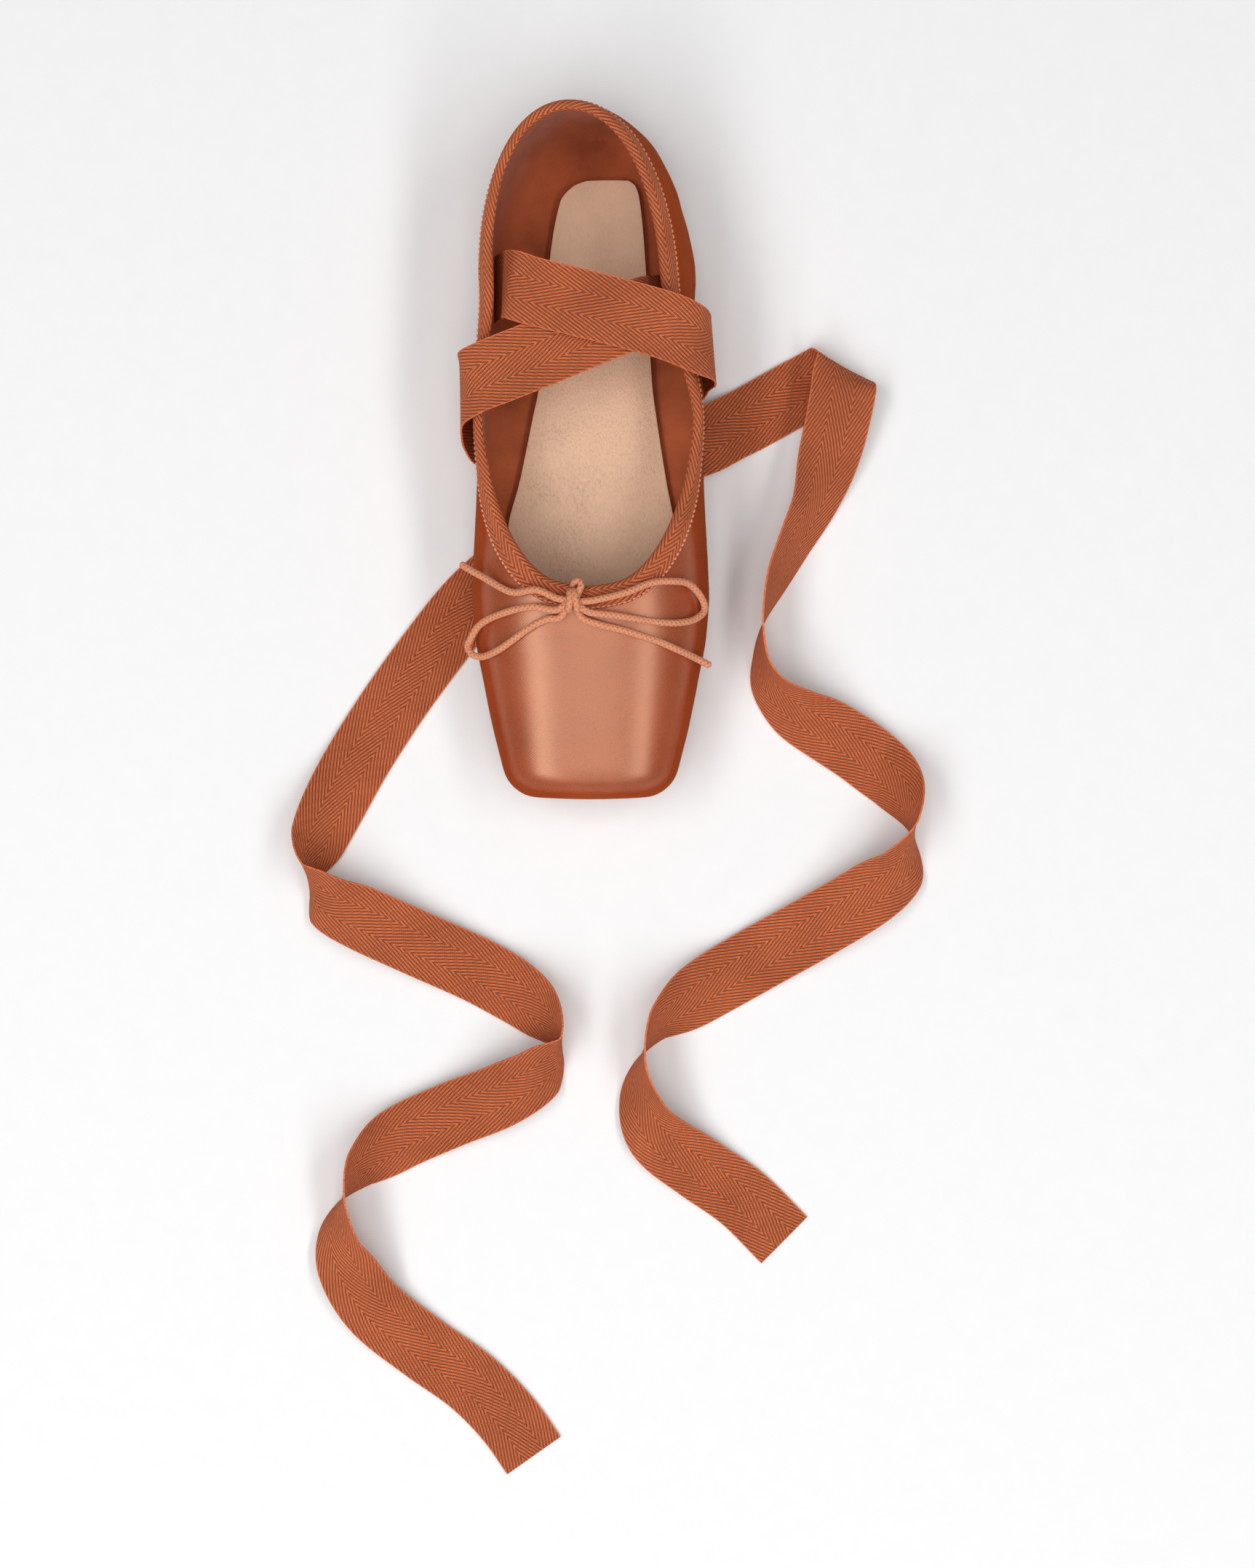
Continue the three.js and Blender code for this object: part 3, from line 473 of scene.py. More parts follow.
def shape_satin(obj):
    """Presses folds, toe pleats, throat gathers and the back seam into the satin."""
    points, normals = read_points(obj), read_normals(obj)
    side, place, down = (read_attribute(obj, key) for key in ("side", "place", "down"))
    x, y, z = (points / MM).T
    depth = crease_depth(side, place, down)
    pleat_zone = soft_step(-58, -74, place) * soft_step(0.66, 0.9, down) * soft_step(15, 9, z)
    angle = np.arctan2(x, -(y + 70))
    wander = 0.35 * np.sin(5.3 * angle + 0.6) + 0.2 * np.sin(11.7 * angle)
    pleats = np.abs(np.sin(17 * angle + wander)) ** 0.6
    depth += pleat_zone * 0.9 * (1 - pleats)
    throat = np.hypot(x - KNOT["x"] * 0.4, (y + 44) * 1.15)
    gathers = np.sin(24 * np.arctan2(x + 1, -(y + 38))) * soft_step(19, 12, throat) * (z > 38)
    depth += 0.16 * gathers
    hollow = np.exp(-(((x + 3) / 13) ** 2 + ((y + 58) / 6.5) ** 2)) * (z > 35)
    depth += 0.55 * hollow
    seam = np.exp(-((x - np.where(place > 100, -0.185 * z + 3, 99)) / 0.5) ** 2) * (place > 104)
    depth += 0.35 * seam
    ripple = np.sin(0.21 * y + 2 * side) * np.sin(0.17 * z + 0.05 * y)
    ripple += 0.5 * np.sin(0.33 * y - 0.26 * z + side)
    soft_zone = soft_step(-40, 0, place) * soft_step(0.06, 0.2, down) * soft_step(0.95, 0.8, down)
    depth += 0.13 * ripple * soft_zone
    write_points(obj, points - normals * (depth * MM)[:, None])


class Nodes:
    """Short names for building a material's nodes."""

    def __init__(self, name):
        self.material = bpy.data.materials.new(name)
        self.material.use_nodes = True
        self.tree = self.material.node_tree
        self.shader = self.tree.nodes["Principled BSDF"]

    def add(self, kind, **settings):
        node = self.tree.nodes.new(kind)
        for key, value in settings.items():
            setattr(node, key, value)
        return node

    def feed(self, socket, value):
        if isinstance(value, bpy.types.NodeSocket):
            self.tree.links.new(value, socket)
        else:
            socket.default_value = value

    def math(self, operation, *values):
        node = self.add("ShaderNodeMath", operation=operation)
        for socket, value in zip(node.inputs, values):
            self.feed(socket, value)
        return node.outputs[0]

    def where(self):
        return self.add("ShaderNodeTexCoord").outputs["Object"]

    def cloth_map(self):
        """The piece's own cloth map as two lengths in metres: across and along."""
        uv = self.add("ShaderNodeUVMap", uv_map="Cloth")
        parts = self.add("ShaderNodeSeparateXYZ")
        self.feed(parts.inputs[0], uv.outputs[0])
        return parts.outputs[0], parts.outputs[1]

    def noise(self, vector, scale, detail=3.0, roughness=0.55):
        node = self.add("ShaderNodeTexNoise")
        self.feed(node.inputs["Vector"], vector)
        node.inputs["Scale"].default_value = scale
        node.inputs["Detail"].default_value = detail
        node.inputs["Roughness"].default_value = roughness
        return node.outputs[0]

    def stretch(self, vector, scale):
        node = self.add("ShaderNodeMapping")
        self.feed(node.inputs["Vector"], vector)
        node.inputs["Scale"].default_value = scale
        return node.outputs[0]

    def ramp(self, value, *stops):
        node = self.add("ShaderNodeValToRGB")
        self.feed(node.inputs[0], value)
        while len(node.color_ramp.elements) < len(stops):
            node.color_ramp.elements.new(0.5)
        for element, (at, colour) in zip(node.color_ramp.elements, stops):
            element.position = at
            element.color = (*colour, 1)
        return node.outputs[0]

    def mix(self, factor, a, b, blend="MIX"):
        node = self.add("ShaderNodeMix", data_type="RGBA", blend_type=blend)
        self.feed(node.inputs[0], factor)
        self.feed(node.inputs[6], a)
        self.feed(node.inputs[7], b)
        return node.outputs[2]

    def span(self, value, low, high, to_low=0.0, to_high=1.0):
        node = self.add("ShaderNodeMapRange", interpolation_type="SMOOTHSTEP")
        for socket, number in zip(node.inputs, (value, low, high, to_low, to_high)):
            self.feed(socket, number)
        return node.outputs[0]

    def bump(self, height, distance, strength=1.0, under=None):
        node = self.add("ShaderNodeBump")
        node.inputs["Distance"].default_value = distance
        node.inputs["Strength"].default_value = strength
        self.feed(node.inputs["Height"], height)
        if under is not None:
            self.feed(node.inputs["Normal"], under)
        return node.outputs[0]

    def finish(self, **inputs):
        for key, value in inputs.items():
            self.feed(self.shader.inputs[key.replace("_", " ")], value)
        return self.material


def shade(colour, amount):
    """A colour times an amount, as four channels."""
    return tuple(min(channel * amount, 1) for channel in colour[:3]) + (1,)


def herringbone(nodes, column, pitch, steepness):
    """Raised diagonal yarns that change direction from column to column, 0 in the grooves and 1 on top."""
    across, along = nodes.cloth_map()
    lean = math.radians(steepness)
    zigzag = nodes.math("PINGPONG", across, column)
    run = nodes.math("MULTIPLY", along, math.sin(lean) / pitch)
    tilt = nodes.math("MULTIPLY", zigzag, math.cos(lean) / pitch)
    line = nodes.math("ADD", run, tilt)
    wave = nodes.math("SINE", nodes.math("MULTIPLY", line, 2 * math.pi))
    ridge = nodes.math("MULTIPLY_ADD", wave, 0.5, 0.5)
    picks = nodes.math("SINE", nodes.math("MULTIPLY", along, 2 * math.pi / (0.95 * pitch)))
    yarns = nodes.math("SINE", nodes.math("MULTIPLY", across, 2 * math.pi / (0.62 * pitch)))
    knots = nodes.math("MULTIPLY", picks, yarns)
    return nodes.math("MULTIPLY_ADD", knots, 0.34, ridge)


def twill_material(name, colours, column, pitch, steepness, width=None):
    """Herringbone cotton tape: random fibre tone with painted shade in the grooves and painted highlight on
    the yarn tops, uneven dye and a painted highlight along each edge.
    """
    nodes = Nodes(name)
    weave = herringbone(nodes, column, pitch, steepness)
    dye = nodes.noise(nodes.where(), 55, 4)
    fibre = nodes.noise(nodes.where(), 2600, 2)
    # Fibre tone is random; the weave term paints shade into the grooves and highlight onto the yarn tops
    fibre_tone_and_weave_shade = nodes.math("MULTIPLY_ADD", fibre, 0.4, nodes.math("MULTIPLY", weave, 0.7))
    low, mid, high = (shade(colours.twill, amount)[:3] for amount in (0.42, 1.0, 1.75))
    colour = nodes.ramp(fibre_tone_and_weave_shade, (0.1, low), (0.5, mid), (0.95, high))
    patchy = nodes.ramp(dye, (0.3, (0.86, 0.83, 0.8)), (0.72, (1.1, 1.08, 1.06)))
    colour = nodes.mix(1.0, colour, patchy, "MULTIPLY")
    # Painted highlight: a pale line along both edges of the ribbon
    if width is not None:
        across, _ = nodes.cloth_map()
        edge = nodes.math("ABSOLUTE", nodes.math("SUBTRACT", across, width / 2))
        rim = nodes.span(edge, width / 2 - 0.0006, width / 2 - 0.0001)
        colour = nodes.mix(nodes.math("MULTIPLY", rim, 0.75), colour, shade(colours.twill, 1.75))
    normal = nodes.bump(weave, 0.0003, 0.9)
    normal = nodes.bump(fibre, 0.00006, 0.5, normal)
    rough = nodes.span(fibre, 0.3, 0.8, 0.72, 0.9)
    return nodes.finish(
        Base_Color=colour, Roughness=rough, Normal=normal, Sheen_Weight=0.35, Sheen_Roughness=0.45,
        Sheen_Tint=shade(colours.twill, 2.2), Specular_IOR_Level=0.22,
    )


def satin_material(colours):
    """Satin weave: fine diagonal floats, a tinted broad gloss and a grainy lustre."""
    nodes = Nodes("satin")
    across, along = nodes.cloth_map()
    pitch = 0.00066
    line = nodes.math("ADD", nodes.math("MULTIPLY", across, -0.64), nodes.math("MULTIPLY", along, 0.77))
    floats = nodes.math("SINE", nodes.math("MULTIPLY", line, 2 * math.pi / pitch))
    grain = nodes.noise(nodes.where(), 4200, 2, 0.6)
    cloud = nodes.noise(nodes.where(), 60, 4)
    tone = nodes.math("MULTIPLY_ADD", floats, 0.2, grain)
    colour = nodes.ramp(tone, (0.2, shade(colours.satin, 0.66)[:3]), (0.5, colours.satin[:3]),
                        (0.86, shade(colours.satin, 1.4)[:3]))
    patchy = nodes.ramp(cloud, (0.3, (0.9, 0.88, 0.87)), (0.7, (1.07, 1.06, 1.06)))
    colour = nodes.mix(1.0, colour, patchy, "MULTIPLY")
    normal = nodes.bump(floats, 0.000012, 0.6)
    normal = nodes.bump(grain, 0.00002, 0.5, normal)
    rough = nodes.span(grain, 0.25, 0.8, 0.26, 0.42)
    facing = nodes.add("ShaderNodeLayerWeight").outputs["Facing"]
    gloss = nodes.span(facing, 0.22, 0.5, 0.56, 0.0)
    return nodes.finish(
        Base_Color=colour, Roughness=rough, Normal=normal, Metallic=0.06, IOR=2.2, Specular_IOR_Level=gloss,
        Specular_Tint=(1.0, 0.72, 0.50, 1), Sheen_Weight=0.08, Sheen_Roughness=0.3,
        Sheen_Tint=(0.95, 0.36, 0.17, 1),
    )


def lining_material(colours):
    """Plain-weave cotton lining, matt and rubbed, with faint vertical wrinkles."""
    nodes = Nodes("lining_cotton")
    across, along = nodes.cloth_map()
    warp = nodes.math("SINE", nodes.math("MULTIPLY", across, 2 * math.pi / 0.00055))
    weft = nodes.math("SINE", nodes.math("MULTIPLY", along, 2 * math.pi / 0.00055))
    weave = nodes.math("MULTIPLY", warp, weft)
    cloud = nodes.noise(nodes.where(), 70, 5)
    wrinkle = nodes.noise(nodes.stretch(nodes.where(), (130, 130, 22)), 1.0, 3)
    colour = nodes.ramp(nodes.math("MULTIPLY_ADD", weave, 0.08, cloud),
                        (0.28, shade(colours.lining, 0.72)[:3]), (0.5, colours.lining[:3]),
                        (0.75, shade(colours.lining, 1.22)[:3]))
    normal = nodes.bump(weave, 0.00008, 0.5)
    normal = nodes.bump(wrinkle, 0.0007, 0.5, normal)
    rough = nodes.span(cloud, 0.3, 0.7, 0.82, 0.95)
    return nodes.finish(Base_Color=colour, Roughness=rough, Normal=normal, Specular_IOR_Level=0.15,
                        Sheen_Weight=0.15, Sheen_Roughness=0.5)


def suede_material(colours):
    """Pale suede: short brushed nap ahead, nap rubbed smooth under the heel, painted light lifting the heel's
    colour, handled edges.
    """
    nodes = Nodes("insole_suede")
    spot = nodes.where()
    nap = nodes.noise(nodes.stretch(spot, (1500, 900, 900)), 1.0, 4, 0.7)
    pores = nodes.noise(spot, 2600, 3)
    cloud = nodes.noise(spot, 38, 5, 0.6)
    parts = nodes.add("ShaderNodeSeparateXYZ")
    nodes.feed(parts.inputs[0], spot)
    # Heel zone: its nap is rubbed down (real wear) and its colour is lifted by painted light below
    heel = nodes.span(parts.outputs[1], 0.02, 0.06)
    rough_nap = nodes.math("MULTIPLY", nap, nodes.math("MULTIPLY_ADD", heel, -0.55, 1.0))
    tone = nodes.math("MULTIPLY_ADD", cloud, 0.45, nodes.math("MULTIPLY", rough_nap, 0.55))
    colour = nodes.ramp(tone, (0.28, shade(colours.suede, 0.62)[:3]), (0.45, colours.suede[:3]),
                        (0.66, shade(colours.suede, 1.16)[:3]))
    speck = nodes.ramp(pores, (0.3, (0.86, 0.83, 0.8)), (0.42, (1, 1, 1)))
    colour = nodes.mix(1.0, colour, speck, "MULTIPLY")
    # Painted light: a paler tint at the heel that lifts the shade the walls and ribbons cast there
    colour = nodes.mix(nodes.math("MULTIPLY", heel, 0.6), colour, (0.98, 0.68, 0.47, 1))
    normal = nodes.bump(rough_nap, 0.0007, 0.8)
    normal = nodes.bump(pores, 0.00008, 0.4, normal)
    return nodes.finish(Base_Color=colour, Roughness=nodes.span(nap, 0.3, 0.7, 0.82, 0.98), Normal=normal,
                        Specular_IOR_Level=0.15, Sheen_Weight=0.3, Sheen_Roughness=0.6,
                        Sheen_Tint=shade(colours.suede, 1.2))


def leather_material(colours):
    """Buffed sole leather: fine pores, stretched fibres, scattered scuffs."""
    nodes = Nodes("sole_leather")
    spot = nodes.where()
    grain = nodes.add("ShaderNodeTexVoronoi", feature="F1")
    nodes.feed(grain.inputs["Vector"], spot)
    grain.inputs["Scale"].default_value = 900
    cells = grain.outputs["Distance"]
    cloud = nodes.noise(spot, 45, 5)
    fibre = nodes.noise(nodes.stretch(spot, (900, 160, 900)), 1.0, 4)
    scuff = nodes.span(nodes.noise(nodes.stretch(spot, (240, 70, 240)), 1.0, 5, 0.7), 0.55, 0.75)
    tone = nodes.math("MULTIPLY_ADD", fibre, 0.4, nodes.math("MULTIPLY", cloud, 0.6))
    colour = nodes.ramp(tone, (0.3, shade(colours.leather, 0.7)[:3]), (0.5, colours.leather[:3]),
                        (0.72, shade(colours.leather, 1.25)[:3]))
    colour = nodes.mix(nodes.math("MULTIPLY", scuff, 0.45), colour, shade(colours.leather, 0.6))
    normal = nodes.bump(cells, 0.00012, 0.5)
    normal = nodes.bump(fibre, 0.0002, 0.35, normal)
    return nodes.finish(Base_Color=colour, Roughness=nodes.span(scuff, 0, 1, 0.48, 0.72), Normal=normal,
                        Specular_IOR_Level=0.4)


def cord_material(colours):
    """Soft braided cotton: crossing strands with painted shade between them and paler tops, loose fibres."""
    nodes = Nodes("drawstring_cotton")
    around, along = nodes.cloth_map()
    left = nodes.math("SINE", nodes.math("MULTIPLY_ADD", along, 2 * math.pi / 0.0016,
                                         nodes.math("MULTIPLY", around, 2 * math.pi / 0.0024)))
    right = nodes.math("SINE", nodes.math("MULTIPLY_ADD", along, 2 * math.pi / 0.0016,
                                          nodes.math("MULTIPLY", around, -2 * math.pi / 0.0024)))
    braid = nodes.math("MAXIMUM", left, right)
    fibre = nodes.noise(nodes.where(), 3000, 3)
    # Fibre tone is random; the braid term paints shade between the strands and lightens their tops
    tone = nodes.math("MULTIPLY_ADD", braid, 0.2, fibre)
    colour = nodes.ramp(tone, (0.2, shade(colours.cord, 0.68)[:3]), (0.6, colours.cord[:3]),
                        (0.95, shade(colours.cord, 1.3)[:3]))
    normal = nodes.bump(braid, 0.00018, 0.7)
    normal = nodes.bump(fibre, 0.0001, 0.5, normal)
    return nodes.finish(Base_Color=colour, Roughness=nodes.span(fibre, 0.3, 0.7, 0.75, 0.92), Normal=normal,
                        Specular_IOR_Level=0.2, Sheen_Weight=0.4, Sheen_Roughness=0.5,
                        Sheen_Tint=shade(colours.cord, 1.5))


def thread_material(colours):
    """Sewing thread: two plies with a slight shine."""
    nodes = Nodes("sewing_thread")
    ply = nodes.noise(nodes.stretch(nodes.where(), (3500, 3500, 3500)), 1.0, 2)
    colour = nodes.ramp(ply, (0.3, shade(colours.cord, 0.85)[:3]), (0.7, shade(colours.cord, 1.3)[:3]))
    return nodes.finish(Base_Color=colour, Roughness=nodes.span(ply, 0.3, 0.7, 0.5, 0.7),
                        Normal=nodes.bump(ply, 0.00008, 0.5), Specular_IOR_Level=0.35)


def floor_material(colours):
    """Plain pale paper floor."""
    nodes = Nodes("floor_paper")
    grain = nodes.noise(nodes.where(), 120, 4)
    tone = [shade(colours.floor, amount)[:3] for amount in (0.985, 1.0)]
    colour = nodes.ramp(grain, (0.3, tone[0]), (0.7, tone[1]))
    return nodes.finish(Base_Color=colour, Roughness=nodes.span(grain, 0.3, 0.7, 0.85, 0.95),
                        Normal=nodes.bump(grain, 0.0002, 0.08), Specular_IOR_Level=0.1)


def catmull_rom(points, count_per_span, centripetal):
    """A smooth line through points, sampled evenly in each span, with its directions."""
    points = np.asarray(points, float)
    before = 2 * points[0] - points[1]
    after = 2 * points[-1] - points[-2]
    ring = np.concatenate([[before], points, [after]])
    places, ways = [], []
    spans = len(points) - 1
    for i in range(spans):
        p0, p1, p2, p3 = ring[i:i + 4]
        if centripetal:
            d0, d1, d2 = (max(np.linalg.norm(b - a) ** 0.5, 1e-4) for a, b in ((p0, p1), (p1, p2), (p2, p3)))
            t1 = ((p1 - p0) / d0 - (p2 - p0) / (d0 + d1) + (p2 - p1) / d1) * d1
            t2 = ((p2 - p1) / d1 - (p3 - p1) / (d1 + d2) + (p3 - p2) / d2) * d1
        else:
            t1, t2 = (p2 - p0) / 2, (p3 - p1) / 2
        c2 = -3 * p1 + 3 * p2 - 2 * t1 - t2
        c3 = 2 * p1 - 2 * p2 + t1 + t2
        last = i == spans - 1
        for t in np.linspace(0, 1, count_per_span + 1)[: None if last else -1]:
            places.append(p1 + t1 * t + c2 * t * t + c3 * t ** 3)
            ways.append(t1 + 2 * c2 * t + 3 * c3 * t * t)
    ways = np.array(ways)
    return np.array(places), ways / np.linalg.norm(ways, axis=1)[:, None]


def ribbon_frame(name, per_span):
    """Middle line of a ribbon and its width directions."""
    rows = WRAP[name] + TAIL[name]
    spots = np.array([row[:3] for row in rows], float)
    _, knots = catmull_rom(spots, 1, True)
    widths = []
    for i, row in enumerate(rows):
        tangent = knots[i]
        if i < len(WRAP[name]):
            wide = np.array([row[3], 1.0, 0.0]) * FACING[name]
            wide -= tangent * (wide @ tangent)
        else:
            roll = math.radians(row[3])
            level = np.array([-tangent[1], tangent[0], 0.0])
            level /= np.linalg.norm(level)
            wide = level * math.cos(roll) + np.cross(tangent, level) * math.sin(roll)
        widths.append(wide / np.linalg.norm(wide))
    line, ways = catmull_rom(spots, per_span, True)
    wide, _ = catmull_rom(widths, per_span, False)
    wide -= ways * (wide * ways).sum(1)[:, None]
    wide /= np.linalg.norm(wide, axis=1)[:, None]
    return line, ways, wide


def ribbon_piece(name, sizes):
    """One flat ribbon: its woven strip with thickened selvedges, laid along its route."""
    width = sizes.ribbon_width / MM
    thick = sizes.ribbon_thickness / MM
    line, ways, wide = ribbon_frame(name, 12)
    face = np.cross(ways, wide)
    low = line[:, 2] - (np.abs(wide[:, 2]) * width + np.abs(face[:, 2]) * thick) / 2
    rest = 0.35
    line[:, 2] += np.maximum(rest - low, 0)
    along = np.concatenate([[0], np.cumsum(np.linalg.norm(np.diff(line, axis=0), axis=1))])
    share = np.linspace(0, 1, 21)
    offset = (share - 0.5) * width
    cup = 0.35 * (2 * share - 1) ** 2
    sway = 0.12 * np.sin(along / 9.0)[:, None] * np.sin(math.pi * (share - 0.5))[None]
    free = np.clip(along / 200 - 0.9, 0, 1)[:, None]
    bend = (cup[None] * np.sin(along / 31.0)[:, None] * 0.6 + sway) * free
    selvedge = np.where(np.abs(2 * share - 1) > 0.955, 1.3, 1.0)
    points = []
    for sign in (1, -1):
        lift = bend + sign * 0.5 * thick * selvedge[None]
        across_line = line[:, None] + wide[:, None] * offset[None, :, None]
        points.append(across_line + face[:, None] * lift[:, :, None])
    ring = np.concatenate([points[0], points[1][:, ::-1]], 1)
    ring[:, :, 2] = np.maximum(ring[:, :, 2], 0.12)
    across = np.concatenate([share, share[::-1]]) * width
    uv = np.stack([np.repeat(across[None], len(line), 0), np.repeat(along[:, None], ring.shape[1], 1)], 2)
    uv = np.concatenate([uv, uv[:, :1]], 1)
    ring = np.concatenate([ring, ring[:, :1]], 1)
    obj = grid_piece(name, ring, uv=uv)
    weld(obj)
    close_ends(obj)
    outward(obj)
    smooth(obj, 50)
    return obj, line * MM


def close_ends(obj):
    """Fills the open ends of a tube."""
    activate(obj)
    bpy.ops.object.mode_set(mode="EDIT")
    bpy.ops.mesh.select_all(action="DESELECT")
    bpy.ops.mesh.select_mode(type="EDGE")
    bpy.ops.mesh.select_non_manifold(
        extend=False, use_wire=False, use_multi_face=False, use_non_contiguous=False, use_verts=False)
    bpy.ops.mesh.fill_holes(sides=0)
    bpy.ops.mesh.select_mode(type="VERT")
    bpy.ops.object.mode_set(mode="OBJECT")


def tube_rings(line, radius, sides, twist=0.0, ridge=0.0):
    """Rings of a braided cord along a line, in millimetres, with a frame that doesn't spin."""
    ways = np.gradient(line, axis=0)
    ways /= np.linalg.norm(ways, axis=1)[:, None]
    along = np.concatenate([[0], np.cumsum(np.linalg.norm(np.diff(line, axis=0), axis=1))])
    normal = np.cross(ways[0], (0, 0, 1.0))
    if np.linalg.norm(normal) < 0.1:
        normal = np.cross(ways[0], (1.0, 0, 0))
    rings = []
    turns = np.linspace(0, 2 * math.pi, sides, endpoint=False)
    for spot, way, s in zip(line, ways, along):
        normal = normal - way * (normal @ way)
        normal /= np.linalg.norm(normal)
        side = np.cross(way, normal)
        braid = np.maximum(np.sin(3 * turns + twist * s), np.sin(3 * turns - twist * s))
        reach = radius * (1 + ridge * braid)
        rings.append(spot + np.outer(reach * np.cos(turns), normal) + np.outer(reach * np.sin(turns), side))
    return np.stack(rings), along


def cord_piece(name, line, radius, closed=False, sides=18):
    """A braided cord of round section along a line, with fuzzy rounded ends."""
    rings, along = tube_rings(line, radius, sides, twist=3.4, ridge=0.03)
    if not closed:
        for i, share in enumerate((0.35, 0.78)):
            for k in (i, len(rings) - 1 - i):
                rings[k] = line[k] + (rings[k] - line[k]) * share
    around = np.linspace(0, 2 * math.pi * radius, sides + 1)
    uv = np.stack([np.repeat(around[None], len(rings), 0), np.repeat(along[:, None], sides + 1, 1)], 2)
    rings = np.concatenate([rings, rings[:, :1]], 1)
    obj = grid_piece(name, rings, uv=uv)
    weld(obj, 0.000005)
    close_ends(obj)
    outward(obj)
    smooth(obj, 60)
    return obj


def even(line, step):
    """The same line with points a step apart."""
    along = np.concatenate([[0], np.cumsum(np.linalg.norm(np.diff(line, axis=0), axis=1))])
    want = np.linspace(0, along[-1], max(int(along[-1] / step), 4))
    return np.stack([np.interp(want, along, line[:, k]) for k in range(3)], 1)


def satin_tree():
    """The model's own upper, for heights and directions on the satin."""
    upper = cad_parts["upper"]
    shape = bmesh.new()
    shape.from_mesh(upper.data)
    tree = BVHTree.FromBMesh(shape)
    shape.free()
    return tree


def over_satin(tree, x, y, lift):
    """A point that stands off the satin by a lift, in millimetres."""
    hit, normal, _, _ = tree.ray_cast(Vector((x * MM, y * MM, 0.2)), Vector((0, 0, -1)))
    if hit is None:
        raise RuntimeError(f"no satin under {x}, {y}")
    return np.array(hit + normal * (lift * MM)) / MM


def bow_line(tree, name):
    """Middle line of one cord of the bow, led into the knot."""
    spots = []
    for x, y, kind, value in BOW[name]:
        spots.append(np.array([x, y, value]) if kind == "z" else over_satin(tree, x, y, value))
    heart = over_satin(tree, KNOT["x"], KNOT["y"], KNOT["rise"])
    aim = heart + (spots[0] - heart) * 0.25
    spots.insert(0, aim)
    if name in BOW_LOOPS:
        spots.append(heart + (spots[-1] - heart) * 0.25)
    line, _ = catmull_rom(spots, 12, True)
    return even(line, 0.3)


def knot_piece(tree, radius):
    """The knot: two turns of cord round the bow and a short riser from the casing at the throat."""
    heart = over_satin(tree, KNOT["x"], KNOT["y"], KNOT["rise"] - 0.2)
    parts = []
    for shift, tilt in ((-0.95, 0.12), (1.0, -0.2)):
        turn = np.linspace(0, 2 * math.pi, 72)
        reach = np.stack([shift + tilt * 2.6 * np.cos(turn) + 0.25 * np.sin(turn), 3.0 * np.cos(turn),
                          2.3 * np.sin(turn)], 1)
        parts.append(cord_piece("turn", heart + reach, radius * 0.98, closed=True))
    riser = [heart + np.array(v) for v in (
        (1.3, 0.6, 0.3), (2.0, 2.6, 0.9), (2.9, 4.6, 0.9), (2.6, 6.0, 0.2), (1.2, 6.3, -0.4),
        (0.3, 5.2, -1.6), (0.2, 4.2, -3.2))]
    line, _ = catmull_rom(riser, 14, True)
    parts.append(cord_piece("riser", even(line, 0.3), radius * 0.95))
    return join("drawstring_knot_wound", parts)


def edge_loop():
    """The upper's top edge as one closed line, from the throat round by the left side."""
    stations = [s for s in shoe_stations() if s[1] >= THROAT - 1e-6]
    left = np.array([section_line(s, -1, 8)[0][0] for s in stations])
    right = np.array([section_line(s, 1, 8)[0][0] for s in stations])
    loop = np.concatenate([left, right[1:-1][::-1], left[:1]])
    keep = np.concatenate([[True], np.linalg.norm(np.diff(loop, axis=0), axis=1) > 0.02])
    loop = even(loop[keep], 1.0)
    return loop[:-1]


def rolling(values, reach):
    """Each row averaged with its neighbours round a loop."""
    total = sum(np.roll(values, k, 0) for k in range(-reach, reach + 1))
    return total / (2 * reach + 1)


def edge_frames(skin):
    """Along the top edge: its points, outward directions, downward directions and a surface lookup."""
    loop = rolling(edge_loop(), 1)
    shape = bmesh.new()
    shape.from_mesh(skin.data)
    tree = BVHTree.FromBMesh(shape)
    shape.free()
    tangent = np.roll(loop, -1, 0) - np.roll(loop, 1, 0)
    tangent /= np.linalg.norm(tangent, axis=1)[:, None]
    out = []
    for spot in loop:
        hits = tree.find_nearest_range(Vector(spot * MM), 0.003)
        normal = sum((hit[1] for hit in hits), Vector())
        out.append(normal.normalized() if hits else Vector((0, 0, 1)))
    out = rolling(np.array(out), 3)
    out -= tangent * (out * tangent).sum(1)[:, None]
    out /= np.linalg.norm(out, axis=1)[:, None]
    down = np.cross(out, tangent)
    down /= np.linalg.norm(down, axis=1)[:, None]
    return loop, out, down, tree


def surface_point(tree, spot):
    hit, normal, _, _ = tree.find_nearest(Vector(spot * MM))
    return np.array(hit) / MM, np.array(normal)


# Folded tape in section: way down from the edge, way out from the satin, from the outer hem
# over the rim to the inner hem
TAPE = (
    (7.0, 0.12), (6.9, 0.55), (6.2, 0.62), (5.2, 0.64), (4.0, 0.8), (2.8, 1.0), (1.6, 1.05), (0.6, 0.95),
    (-0.1, 0.65), (-0.55, 0.15), (-0.75, -0.45), (-0.75, -1.05), (-0.55, -1.7), (-0.1, -2.15), (0.8, -2.4),
    (2.2, -2.45), (3.8, -2.45), (5.4, -2.4), (6.6, -2.35), (7.0, -2.1),
)


def tape_line(tree, edge, out, down):
    """One section of the tape, laid on the satin where it reaches down."""
    points = []
    for reach, lift in TAPE:
        if reach <= 0.4:
            points.append(edge + down * reach + out * lift)
            continue
        foot, normal = surface_point(tree, edge + down * reach)
        points.append(foot + normal * lift)
    return np.array(points)


def binding_rings(skin):
    """Sections of the tape all round the top edge."""
    loop, out, down, tree = edge_frames(skin)
    rings = np.array([tape_line(tree, *row) for row in zip(loop, out, down)])
    rings = rolling(rings, 2)
    along = np.concatenate([[0], np.cumsum(np.linalg.norm(np.diff(loop, axis=0), axis=1))])
    return rings, along


